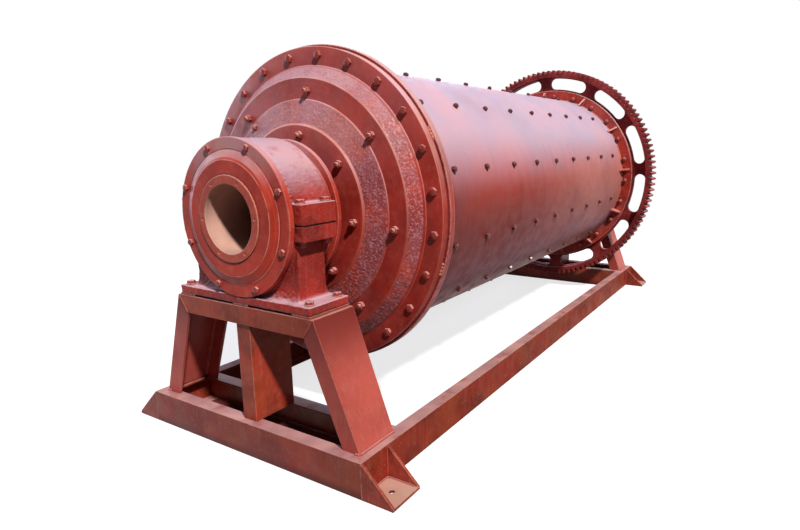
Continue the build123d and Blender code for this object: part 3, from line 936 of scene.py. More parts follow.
@dataclass(frozen=True)
class RingedPrimer(OxidePrimer):
    """The same primer on a stepped round cover, with painted highlights on its steps' edges and painted shade
    at their feet.

    Each ring is given by its radius and by half its width, in millimetres.
    """

    # Rings of painted highlight on the steps' edges and of painted shade at their feet
    highlight_rings: tuple[tuple[float, float], ...] = ((222.0, 2.4), (256.0, 1.6))
    shaded_rings: tuple[tuple[float, float], ...] = ((262.0, 2.2),)
    ring_share: float = 0.75
    ring_patch: float = 60.0

    def tones(self, canvas: Canvas) -> NodeSocket:
        """Paint with thin rings of painted shade and of painted highlight.

        Args:
            canvas: node tree of the material.

        Returns:
            Socket with the colour.
        """
        broken = canvas.patches(self.ring_patch, low=0.3, high=0.55)
        coats = [
            (colour, canvas.near(canvas.radius, radius, width), broken, self.ring_share)
            for colour, rings in ((self.grime_and_shade, self.shaded_rings), (self.pale, self.highlight_rings))
            for radius, width in rings
        ]
        return canvas.layered(super().tones(canvas), coats)


@dataclass(frozen=True)
class SplitPrimer(OxidePrimer):
    """The same primer on a split housing, with dirt packed in the joint between its halves."""

    joint: float = AXLE.height - 13.0
    joint_width: float = 5.0

    def tones(self, canvas: Canvas) -> NodeSocket:
        """Paint with a dark line along the joint."""
        line = canvas.near(canvas.axes[2], self.joint, self.joint_width)
        return canvas.layered(super().tones(canvas), [(self.grime_and_shade, line)])


@dataclass(frozen=True)
class BareMetal(Finish):
    """Bare metal that has dulled: the bronze of the bearing rings."""

    name: str
    base: str
    stain: str
    roughness: float
    stain_size: float = 25.0
    grain: float = 2.5

    def shader(self, canvas: Canvas) -> Node:
        """Metal with patches of stain.

        Args:
            canvas: node tree of the material.

        Returns:
            The metal's shader.
        """
        stained = canvas.patches(self.stain_size, low=0.4, high=0.65, detail=5.0)
        grain = {"Height": canvas.noise(self.grain, 2.0), "Distance": 0.0001}
        bright = {"Value": stained, "To Min": 0.9, "To Max": 0.2}
        inputs = {
            "Base Color": canvas.layered(self.base, [(self.stain, stained)]),
            "Metallic": add_node(canvas.tree, "ShaderNodeMapRange", bright).outputs[0],
            "Roughness": self.roughness,
            "Normal": add_node(canvas.tree, "ShaderNodeBump", grain).outputs[0],
        }
        return add_node(canvas.tree, "ShaderNodeBsdfPrincipled", inputs)


# Rolled channel and plate: flat, with faint runs, scuffed, tops greyed by dust and painted sky light, and
# darker low down
ROLLED_STEEL = OxidePrimer(
    "red_oxide_on_rolled_channel",
    base="#a03c30", deep="#64221a", pale="#d2a38f", dust_and_sky_colour="#b0898f",
    blotch=260.0, stain="#a3573a", stain_size=240.0, stain_share=0.45,
    run_share=0.04,
    dust_and_sky=0.85,
    chip_share=0.45,
    dark_from=0.045, dark_full=0.008, dark_share=0.9,
)
# Heads and middle legs of the stands: the same channel, kept redder, with old orange runs
STAND_HEAD = OxidePrimer(
    "red_oxide_on_stand_head",
    base="#a93f2d", deep="#6d271a", pale="#d8a48e", dust_and_sky_colour="#b98f90",
    blotch=150.0, stain="#b35a38", stain_size=130.0, stain_share=0.3,
    run_share=0.05,
    dust_and_sky=0.8,
)
# Feet carry the dust of the ground on their plates
FOOT_PLATE = OxidePrimer(
    "red_oxide_on_foot_plate",
    base="#a84636", deep="#702a1e", pale="#dba092", dust_and_sky_colour="#cfa99a", dust_and_sky_warm="#c39682",
    blotch=90.0,
    dust_and_sky=0.95, dust_and_sky_from=0.85, dust_and_sky_full=0.97, dust_and_sky_least=0.7,
)
# The rails stand nearest the ground, and soft tan dust lies along their sides
ROLLED_RAIL = OxidePrimer(
    "red_oxide_on_rolled_rail",
    base="#913426", deep="#5a2016", pale="#cf9f8a", dust_and_sky_colour="#b38e90",
    roughness=0.5, specular=0.05, sheen=0.02,
    blotch=190.0, stain="#9c4f33", stain_size=170.0, stain_share=0.45,
    run_share=0.05,
    dust_and_sky=0.85,
    fleck_share=0.06, chip_share=0.4,
)
# Stand legs are of clean plate and took a lighter, fuller coat; painted shade darkens their upper part
STAND_LEG = OxidePrimer(
    "red_oxide_on_stand_leg",
    base="#c25a50", deep="#7c2f29", dust_and_sky_colour="#b9949a",
    blotch=300.0, deepening=0.35,
    dark_from=0.34, dark_share=1.0,
)
# Rolled and welded drum: pale on top with dust and painted sky light, soft bands round it, painted shade
# underneath
ROLLED_SHELL = ShellPrimer(
    "red_oxide_on_rolled_shell",
    base="#ad5a5d", deep="#8b4148", pale="#c58a90", dust_and_sky_colour="#c3b7d1", dust_and_sky_warm="#d9b6c9",
    dust_and_sky_cloud=330.0, shade="#5c2a28", shade_share=0.75,
    roughness=0.5, specular=0.12, sheen=0.08,
    deepening=0.5,
    run=Run.ROUND, run_width=24.0, run_share=0.2,
    dust_and_sky=0.95, dust_and_sky_from=0.02, dust_and_sky_full=0.57, dust_and_sky_patch=320.0, dust_and_sky_least=0.8,
    wave=160.0, wave_height=0.35,
    corner=30.0,
)
# Turned faces take the paint smooth, deep and even, with a little painted sky light on top and painted shade
# in their corners
TURNED_FACE = OxidePrimer(
    "red_oxide_on_turned_face",
    base="#a9362d", deep="#84241d", dust_and_sky_colour="#c79fb0",
    run=Run.RINGS, run_width=6.0, run_share=0.08,
    dust_and_sky=0.7,
    sky_light_share=0.14, sky_from=0.2, sky_full=0.8,
    grain_height=0.05, wave_height=0.08,
    corner=34.0, corner_share=0.95,
)
# Shell flanges: turned rims with dust and painted sky light, painted highlights on their edges and painted
# shade against the heads
FLANGE_RIM = OxidePrimer(
    "red_oxide_on_shell_flange",
    base="#b53f35", deep="#86241f", pale="#f0c0b8", dust_and_sky_colour="#dcb4bb",
    run=Run.ROUND, run_share=0.08,
    dust_and_sky=0.9, dust_and_sky_from=0.0, dust_and_sky_full=0.7, dust_and_sky_least=0.6,
    grain_height=0.05, wave_height=0.08,
    edge=6.0, edge_share=1.0, corner=34.0, corner_share=1.0,
)
# The covers' faces are turned too, with painted sky light above their boss
COVER_FACE = RingedPrimer(
    "red_oxide_on_turned_cover",
    base="#ca4434", deep="#9c2d20", pale="#e9a698", dust_and_sky_colour="#d0a3b0", dust_and_sky_warm="#dca6a4",
    run=Run.RINGS, run_width=6.0, run_share=0.08,
    dust_and_sky=0.75,
    sky_light_share=0.85, sky_from=0.4, sky_full=1.0, sky_radius=232.0,
    grain_height=0.08, wave_height=0.1,
)
# Lips of the turned rings, pale with a painted highlight and with painted sky light on top
HIGHLIT_LIP = OxidePrimer(
    "red_oxide_highlit_on_lips",
    base="#b8503f", deep="#a04035", dust_and_sky_colour="#e8b6bb", dust_and_sky_warm="#e39a90",
    run=Run.RINGS, run_width=8.0, run_share=0.3,
    sky_light_share=0.9, sky_from=-0.25, sky_full=0.75,
    corner_share=0.2,
)
# Rims of the head flanges: turned, with painted sky light where they look up
SKY_LIT_RIM = OxidePrimer(
    "red_oxide_sky_lit_on_rims",
    base="#b04638", deep="#8a2e24", pale="#e6b0a6", dust_and_sky_colour="#e3b9c8", dust_and_sky_warm="#e2a9a6",
    run=Run.ROUND, run_share=0.1,
    dust_and_sky=0.5,
    sky_light_share=0.9, sky_from=0.0, sky_full=0.75,
    grain_height=0.05, wave_height=0.08,
    corner_share=0.5,
)
# Sand casting: open grain with painted highlights and painted shade in specks, and painted sky light on top
SAND_CASTING = OxidePrimer(
    "red_oxide_on_sand_casting",
    base="#b8473a", deep="#7c2c2e", dust_and_sky_colour="#d6aebf", dust_and_sky_warm="#dcaaa9",
    roughness=0.34, sheen=0.25,
    stain="#995763", stain_size=90.0, stain_share=0.55,
    run_share=0.05,
    sky_light_share=0.5, sky_from=0.2, sky_full=1.0,
    grain_light_and_shade=0.36, grain_light_and_shade_size=8.5,
    grain=5.0, grain_height=0.8, wave=22.0, wave_height=0.5,
    corner_share=0.2,
)
# Fettled casting: ground smooth on its sides, so only its skin's long waves are left; its hollows take painted
# shade, and its tops dust with painted sky light
FETTLED_CASTING = SplitPrimer(
    "red_oxide_on_fettled_casting",
    base="#a83024", deep="#701c13", pale="#d8857a", dust_and_sky_colour="#cfb6ca", dust_and_sky_warm="#dcb3bb",
    run_share=0.06,
    dust_and_sky=0.9, dust_and_sky_from=0.2, dust_and_sky_full=0.8, dust_and_sky_patch=60.0, dust_and_sky_least=0.3,
    grain_light_and_shade=0.06,
    grain=4.0, grain_height=0.3, wave=34.0,
    edge=2.5, edge_share=0.5, corner=45.0, corner_share=0.8,
)
# Cut gear: even paint with lit tooth edges
CUT_GEAR = OxidePrimer(
    "red_oxide_on_cut_gear",
    base="#9a3a3a", deep="#5c1d22",
    roughness=0.5, specular=0.05, sheen=0.02,
    run=Run.RINGS, run_width=8.0, run_share=0.1,
    dust_and_sky=0.5,
    grain_height=0.06, wave_height=0.1,
    edge=1.5,
)
# Bolts painted over with the rest: a thick glossy film that rounds their edges, with painted highlights on the
# edges and tops and painted shade in the corners
PAINTED_BOLTS = OxidePrimer(
    "red_oxide_on_bolts",
    base="#a93a2f", pale="#efbdb0", dust_and_sky_colour="#d8a9ab",
    roughness=0.26, specular=0.3,
    blotch=30.0,
    run_share=0.0,
    dust_and_sky=0.8, dust_and_sky_from=0.15, dust_and_sky_full=0.8, dust_and_sky_least=0.6,
    grain_height=0.1, wave_height=0.1,
    edge=2.4, edge_share=0.9, corner=14.0, corner_share=0.9,
)
# Liner nuts: darker and browner than the paint round them, with painted shade in their corners
LINER_NUTS = OxidePrimer(
    "dark_red_oxide_on_liner_nuts",
    base="#743631", deep="#43201d", pale="#cf9a92",
    roughness=0.26, specular=0.35,
    blotch=22.0,
    run_share=0.0,
    dust_and_sky=0.8, dust_and_sky_from=0.86, dust_and_sky_full=0.99, dust_and_sky_least=0.6,
    edge=1.4, edge_share=0.5, corner=14.0, corner_share=0.9,
)
# Weld metal under the paint: rippled, with dark brown painted shade in its toes
WELD_METAL = OxidePrimer(
    "red_oxide_on_weld_metal",
    base="#b04a3f",
    roughness=0.36,
    blotch=40.0,
    run_share=0.0,
    grain_height=0.25, wave_height=0.1,
    edge=0.8, edge_share=0.2, corner_share=0.3,
)
# Ring welds of the drum: a thin pale coat over wire-brushed metal, with dust and painted sky light on top
BRUSHED_WELD = OxidePrimer(
    "thin_red_oxide_on_brushed_weld",
    base="#d2836f", deep="#b05a48", dust_and_sky_colour="#e2b6aa",
    blotch=40.0,
    run_share=0.0,
    grain_height=0.3,
    edge=0.8, edge_share=0.2, corner_share=0.15,
)
# Trunnion mouth: turned and painted outside with painted highlights on its edges, bare and dusty in the bore
# with painted shade deeper in
TRUNNION_MOUTH = MouthPrimer(
    "red_oxide_on_trunnion",
    base="#cb5b49", deep="#a84334", pale="#f4c6b8",
    run=Run.RINGS, run_width=6.0, run_share=0.08,
    edge_share=1.0, corner_share=0.2,
)
# Cast tin bronze, dull brown yellow
BEARING_BRONZE = BareMetal("dull_bearing_bronze", base="#b08d57", stain="#6b5230", roughness=0.4)


@dataclass(frozen=True)
class CarriedNodes:
    """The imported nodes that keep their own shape, with the finish of each."""

    finishes: tuple[tuple[str, Finish], ...] = (
        ("rail", ROLLED_RAIL),
        ("beam", ROLLED_STEEL),
        ("foot", FOOT_PLATE),
        ("leg_middle", STAND_HEAD),
        ("stand_leg", STAND_LEG),
        ("stand", STAND_HEAD),
        ("shims", ROLLED_STEEL),
        ("housing", FETTLED_CASTING),
        ("cover", COVER_FACE),
        ("bush", BEARING_BRONZE),
        ("trunnion", TRUNNION_MOUTH),
        ("head", TURNED_FACE),
        ("flange_ribs", FLANGE_RIM),
        ("shell_flange", FLANGE_RIM),
        ("shell", ROLLED_SHELL),
        ("gear", CUT_GEAR),
    )

    def build(self) -> None:
        """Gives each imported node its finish, by the first word of the list that its name holds."""
        for name, node in sorted(frame["nodes"].items()):
            finish = next(chosen for word, chosen in self.finishes if word in name)
            node.data.materials.clear()
            node.data.materials.append(finish.material())
            LOG.info("%s: %s", name, finish.name)


# Depths of a head's flat rings out from the face of its flange
MIDDLE_RING_DEPTH = 54.0
INNER_RING_DEPTH = 88.0


def head_face(end: int, depth: float) -> float:
    """Length along the axle of a face of a head, by its depth out from the flange's face."""
    return corner(f"{END_NAMES[end]}_head", end == DRIVE).x - end * (INNER_RING_DEPTH - depth)


@dataclass(frozen=True)
class BoltCircle:
    """Circle of equal holes round the axle, by its radius, their number and the turn of the first."""

    radius: float
    count: int
    phase: float

    def fill(self, shape: Shape, fastener: Shape, face: float, end: int, turns: np.random.Generator) -> None:
        """Sets a fastener in each hole, turned to its own angle as it was tightened.

        Args:
            shape: shape that takes the fasteners.
            fastener: bolt, stud or screw, seated on local Z = 0.
            face: length along the axle of the face that they sit on.
            end: end of the mill that they point to.
            turns: source of their angles.
        """
        for index in range(self.count):
            here = AXLE.endways(face, self.radius, self.phase + index * 360 / self.count, end)
            shape.place(fastener, here @ Matrix.Rotation(turns.uniform(0, pi), 4, "Z"))


@dataclass(frozen=True)
class FlangeBolts:
    """Hexagon bolts through each head flange and shell flange, and through the gear's web at the drive end."""

    circles: tuple[tuple[int, BoltCircle], ...] = (
        (FEED, BoltCircle(radius=644.0, count=24, phase=7.0)),
        (DRIVE, BoltCircle(radius=644.0, count=24, phase=3.2)),
    )
    thread: Thread = M20
    seed: int = 24

    def build(self) -> None:
        """Sets one bolt in each hole."""
        turns = np.random.default_rng(self.seed)
        for end, circle in self.circles:
            name = END_NAMES[end]
            face = head_face(end, 0.0)
            grip = abs(face - corner(f"{name}_shell_flange", end == FEED).x)
            shape = Shape()
            circle.fill(shape, self.thread.bolt(grip, washer=False), face, end, turns)
            shape.piece(f"{name}_flange_bolts", Body.DRUM, Slot.HEAD, PAINTED_BOLTS)


@dataclass(frozen=True)
class HeadStuds:
    """Studs and nuts in the two flat rings of each head, and the small plug in the feed head's inner cone."""

    rings: tuple[tuple[float, BoltCircle], ...] = (
        (MIDDLE_RING_DEPTH, BoltCircle(radius=496.0, count=8, phase=7.0)),
        (INNER_RING_DEPTH, BoltCircle(radius=315.0, count=8, phase=7.0)),
    )
    proud: tuple[tuple[int, float], ...] = ((FEED, 28.0), (DRIVE, 24.0))
    depth: float = 34.0
    thread: Thread = M20
    plug_thread: Thread = M16
    plug_proud: float = 4.0
    plug_radius: float = 435.0
    plug_turn: float = -36.5
    plug_depth: float = 61.0
    seed: int = 8

    def build(self) -> None:
        """Sets a stud in each hole of the rings."""
        turns = np.random.default_rng(self.seed)
        for end, proud in self.proud:
            stud = self.thread.stud(proud, self.depth)
            shape = Shape()
            for depth, circle in self.rings:
                circle.fill(shape, stud, head_face(end, depth), end, turns)
            if end == FEED:
                nut = self.plug_thread.nut
                here = AXLE.endways(head_face(end, self.plug_depth), self.plug_radius, self.plug_turn, end)
                shape.place(self.plug_thread.stud(proud=nut + self.plug_proud, depth=nut), here)
            shape.piece(f"{END_NAMES[end]}_head_studs", Body.DRUM, Slot.HEAD, PAINTED_BOLTS)


@dataclass(frozen=True)
class CoverBolts:
    """Hexagon screws that hold each round outer cover to its housing."""

    circle: BoltCircle = BoltCircle(radius=286.0, count=8, phase=22.5)
    cover: float = 24.0
    thread: Thread = M16
    seed: int = 16

    def build(self) -> None:
        """Sets the screws on the covers' faces."""
        turns = np.random.default_rng(self.seed)
        for end, name in END_NAMES.items():
            face = corner(f"{name}_outer_cover", end == FEED).x + end * self.cover
            shape = Shape()
            self.circle.fill(shape, self.thread.screw(self.cover), face, end, turns)
            shape.piece(f"{name}_cover_bolts", Body.FRAME, Slot.HOUSING, PAINTED_BOLTS)


@dataclass(frozen=True)
class LinerBolts:
    """Studs of the shell's lining: rows along the drum, with a nut outside on each."""

    rows: int = 12
    columns: int = 9
    first_turn: float = 44.6
    first_column: float = -1186.0
    column_pitch: float = 292.0
    proud: float = 17.0
    unevenness: float = 1.5
    depth: float = 12.0
    thread: Thread = M16
    seed: int = 13

    def build(self) -> None:
        """Sets the studs over the shell, a little uneven as liner bolts are."""
        turns = np.random.default_rng(self.seed)
        radius = corner("drum_shell", True).y
        shape = Shape()
        for row in range(self.rows):
            turn = self.first_turn + row * 360 / self.rows
            for column in range(self.columns):
                proud = self.proud + turns.uniform(-self.unevenness, self.unevenness)
                here = AXLE.outwards(self.first_column + column * self.column_pitch, radius, turn)
                spin = Matrix.Rotation(turns.uniform(0, pi), 4, "Z")
                shape.place(self.thread.stud(proud, self.depth), here @ spin)
        shape.piece("liner_bolts", Body.DRUM, Slot.SHELL, LINER_NUTS)


@dataclass(frozen=True)
class HousingBolts:
    """Bolts of the bearing housings: four through each seat and two through each pair of lugs."""

    seat_thickness: float = 34.0
    seat_spacing: tuple[float, float] = (148.0, 690.0)
    stand_web: float = 9.0
    lug_inset: float = 90.0
    lug_spacing: tuple[float, float] = (126.0, 626.0)
    lug_above: float = 66.0
    lug_grip: float = 139.0
    thread: Thread = M20

    def build(self) -> None:
        """Sets both kinds of bolt in both housings."""
        for end, name in END_NAMES.items():
            low, high = corner(f"{name}_housing_base", False), corner(f"{name}_housing_base", True)
            seat = Vector(((low.x + high.x) / 2, 0, low.z + self.seat_thickness))
            grip = seat.z - corner(f"{name}_stand_head", True).z + self.stand_web
            cover = corner(f"{name}_outer_cover", end == FEED).x
            lug = Vector((cover - end * self.lug_inset, 0, AXLE.height + self.lug_above))
            shape = Shape()
            self.set_four(shape, self.thread.bolt(grip, washer=True), seat, self.seat_spacing)
            self.set_four(shape, self.thread.bolt(self.lug_grip, washer=True), lug, self.lug_spacing)
            shape.piece(f"{name}_housing_bolts", Body.FRAME, Slot.HOUSING, PAINTED_BOLTS)

    def set_four(self, shape: Shape, bolt: Shape, middle: Vector, spacing: tuple[float, float]) -> None:
        """Sets four upright bolts at the corners of a level rectangle.

        Args:
            shape: shape that takes the bolts.
            bolt: bolt seated on local Z = 0.
            middle: middle of the rectangle.
            spacing: distances between the bolts along the mill and across it.
        """
        for along in (-0.5, 0.5):
            for across in (-0.5, 0.5):
                offset = Vector((along * spacing[0], across * spacing[1], 0))
                shape.place(bolt, Matrix.Translation(middle + offset))


# Direction that no weld runs along, from which a bead's section is set out
ASLANT = Vector((0.31, 0.53, 0.79))


@dataclass(frozen=True)
class Bead:
    """One kind of weld bead: a rounded fillet with the ripples of its passes, in millimetres."""

    leg: float = 8.0
    fullness: float = 0.72
    ripple: float = 9.0
    ripple_height: float = 0.1
    ripple_bow: float = 0.8
    wander: float = 0.12
    end_share: float = 0.55
    sides: int = 8
    steps_per_ripple: int = 3
    step_stretch: float = 1.27

    def run(self, path: list[Vector], looped: bool, seed: float) -> Shape:
        """Lays the bead along a path.

        Args:
            path: points of the path.
            looped: whether the path closes on itself.
            seed: shifts the bead's unevenness.

        Returns:
            The bead.
        """
        points = self.spaced(path, looped)
        last = len(points) - 1
        rings = []
        for index, point in enumerate(points):
            before = points[index - 1] if looped or index else point
            after = points[(index + 1) % len(points)] if looped or index < last else point
            along = (after - before).normalized()
            side = along.cross(ASLANT).normalized()
            up = side.cross(along)
            wobble = self.wander * noise.noise(Vector((seed, index / self.steps_per_ripple, 0.5)))
            phase = 2 * pi * index / self.steps_per_ripple
            inward = 1.0 if looped else min(1.0, min(index, last - index))
            taper = self.end_share + (1 - self.end_share) * inward
            section = []
            for angle in (2 * pi * turn / self.sides for turn in range(self.sides)):
                swell = 1 + self.ripple_height * sin(phase + self.ripple_bow * cos(angle)) + wobble
                radius = self.leg * self.fullness * swell * taper
                section.append(point + radius * (cos(angle) * side + sin(angle) * up))
            rings.append(section)
        return Shape().skin(np.array(rings), looped)

    def spaced(self, path: list[Vector], looped: bool) -> list[Vector]:
        """Points along a path at even steps.

        Args:
            path: points of the path.
            looped: whether the path closes on itself.

        Returns:
            The path's own points with the steps between them.
        """
        step = self.ripple / self.steps_per_ripple * self.step_stretch
        closed = path + path[:1] if looped else path
        points = [closed[0]]
        for start, end in zip(closed, closed[1:]):
            pieces = max(1, round((end - start).length / step))
            points += [start.lerp(end, share / pieces) for share in range(1, pieces + 1)]
        return points[:-1] if looped else points


@dataclass(frozen=True)
class DrumWelds:
    """Welds of the drum: shell to its flanges, each rib to shell and flange, and two tacks at the feed end."""

    rib_count: int = 12
    rib_phase: float = -4.3
    rib_length: float = 75.0
    rib_thickness: float = 12.0
    rib_rise: float = 63.0
    rib_inset: float = 6.0
    tack_turns: tuple[float, ...] = (63.0, 109.0)
    tack_length: float = 60.0
    tack_proud: float = 1.0
    bead: Bead = Bead(leg=9.0)
    rib_bead: Bead = Bead(leg=6.0, ripple=8.0)
    tack_bead: Bead = Bead(leg=8.0, ripple=11.0, ripple_height=0.35)
    circle_points: int = 240

    def build(self) -> None:
        """Lays the welds at both ends of the shell."""
        radius = corner("drum_shell", True).y
        turns = [index * 360 / self.circle_points for index in range(self.circle_points)]
        for end, name in END_NAMES.items():
            back = corner(f"{name}_shell_flange", end == FEED).x
            shape = Shape()
            shape.place(self.bead.run([AXLE.point(back, radius, turn) for turn in turns], True, end))
            for index in range(self.rib_count):
                turn = self.rib_phase + index * 360 / self.rib_count
                for side in (LEFT, RIGHT):
                    self.weld_rib(shape, back, radius, turn, side, end)
            if end == FEED:
                self.tack_flanges(shape)
            shape.piece(f"{name}_drum_welds", Body.DRUM, Slot.SHELL, BRUSHED_WELD)

    def tack_flanges(self, shape: Shape) -> None:
        """Lays the short tack welds in the joint between the feed head's flange and the shell's.

        Args:
            shape: shape that takes the welds.
        """
        joint = corner("feed_shell_flange", False).x
        radius = corner("feed_head", True).y + self.tack_proud
        reach = degrees(self.tack_length / 2 / radius)
        for turn in self.tack_turns:
            path = [AXLE.point(joint, radius, turn + share * reach) for share in (-1.0, -0.5, 0.0, 0.5, 1.0)]
            shape.place(self.tack_bead.run(path, False, turn))

    def weld_rib(self, shape: Shape, back: float, radius: float, turn: float, side: int, end: int) -> None:
        """Lays one rib's welds along the shell and up the flange on one side of the rib.

        Args:
            shape: shape that takes the welds.
            back: length along the axle of the flange's back.
            radius: radius of the shell.
            turn: turn of the rib's middle.
            side: side of the rib.
            end: end of the mill that the flange is at.
        """
        aside = degrees(side * self.rib_thickness / 2 / radius)
        lengths = [back - end * reach for reach in (self.rib_inset, self.rib_length)]
        along = [AXLE.point(length, radius, turn + aside) for length in lengths]
        radii = [radius + rise for rise in (self.rib_inset, self.rib_rise)]
        up = [AXLE.point(back, here, turn + aside * radius / here) for here in radii]
        for offset, path in enumerate((along, up)):
            shape.place(self.rib_bead.run(path, False, turn + offset))


@dataclass(frozen=True)
class FrameWelds:
    """Welds of the frame: anchor feet, mitres of rails and beams, and raking legs."""

    foot_plate: float = 12.0
    foot_gusset: float = 10.0
    foot_length: float = 160.0
    foot_toe: float = 14.0
    foot_lift: float = 2.0
    rail_edge: float = 4.0
    leg_depth: float = 200.0
    leg_mitre_top: tuple[float, float] = (390.0, 620.0)
    leg_mitre_foot: tuple[float, float] = (337.6, 545.0)
    leg_mitre_sink: float = 1.0
    rail_mitre_inset: float = 4.5
    rail_mitre_sink: float = 3.0
    bead: Bead = Bead(leg=6.0, ripple=8.0)
    leg_bead: Bead = Bead(leg=10.0, ripple=10.0)
    leg_mitre_bead: Bead = Bead(leg=4.0, ripple=7.0)

    def build(self) -> None:
        """Lays the welds corner by corner."""
        shape = Shape()
        for end, end_name in END_NAMES.items():
            for side, side_name in SIDE_NAMES.items():
                self.weld_foot(shape, end, side)
                self.weld_mitre(shape, end, side)
                self.weld_leg(shape, f"{end_name}_stand_leg_{side_name}", end, side)
        shape.piece("frame_welds", Body.FRAME, Slot.FRAME, WELD_METAL)

    def lay(self, shape: Shape, bead: Bead, *path: Vector) -> None:
        """Adds one open bead along a path."""
        shape.place(bead.run(list(path), False, path[0].x + path[0].y))

    def weld_foot(self, shape: Shape, end: int, side: int) -> None:
        """Welds a foot's gussets and plate to the rail.

        Args:
            shape: shape that takes the welds.
            end: end of the mill that the foot is at.
            side: side of the mill that the foot is at.
        """
        rail = corner("base_rail_left", True)
        top = rail.z - self.rail_edge
        face_y = side * rail.y
        toe_y = side * (corner("feed_foot_left", True).y - self.foot_toe)
        insets = (self.foot_gusset, self.foot_length - self.foot_gusset, self.foot_length)
        near_x, far_x, outer_x = (end * (rail.x - inset) for inset in insets)
        for x in (near_x, far_x):
            root = Vector((x, face_y, self.foot_plate))
            self.lay(shape, self.bead, root, Vector((x, face_y, top)))
            self.lay(shape, self.bead, root, Vector((x, toe_y, self.foot_plate)))
        plate = [Vector((x, face_y, self.foot_plate)) for x in (near_x, far_x)]
        self.lay(shape, self.bead, *plate)
        self.lay(shape, self.bead, *(Vector((outer_x, face_y, z)) for z in (self.foot_lift, top)))

    def weld_mitre(self, shape: Shape, end: int, side: int) -> None:
        """Welds the mitre between a rail and an end beam, along its top.

        Args:
            shape: shape that takes the weld.
            end: end of the mill that the corner is at.
            side: side of the mill that the corner is at.
        """
        rail = corner("base_rail_left", True)
        flange = rail.y - corner("base_rail_left", False).y
        insets = (self.rail_mitre_inset, flange)
        level = rail.z - self.rail_mitre_sink
        self.lay(shape, self.bead, *(Vector((end * (rail.x - i), side * (rail.y - i), level)) for i in insets))

    def weld_leg(self, shape: Shape, leg: str, end: int, side: int) -> None:
        """Welds round a raking leg's foot on the rail's top, and its mitre with the stand's head.

        Args:
            shape: shape that takes the welds.
            leg: name of the leg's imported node.
            end: end of the mill that the leg is at.
            side: side of the mill that the leg is at.
        """
        low, high = corner(leg, False), corner(leg, True)
        rail_y, top = corner("base_rail_left", False).y, corner("base_rail_left", True).z
        inner_x, face_x = sorted((abs(low.x), abs(high.x)))
        outer_x = inner_x + self.leg_depth
        web_y = max(abs(low.y), abs(high.y))
        foot = ((inner_x, rail_y), (inner_x, web_y), (outer_x, web_y), (outer_x, rail_y))
        path = [Vector((end * x, side * y, top)) for x, y in foot]
        for ends in zip(path, path[1:]):
            self.lay(shape, self.leg_bead, *ends)
        mitre_x = end * (face_x - self.leg_mitre_sink)
        mitre = (self.leg_mitre_top, self.leg_mitre_foot)
        self.lay(shape, self.leg_mitre_bead, *(Vector((mitre_x, side * y, z)) for y, z in mitre))


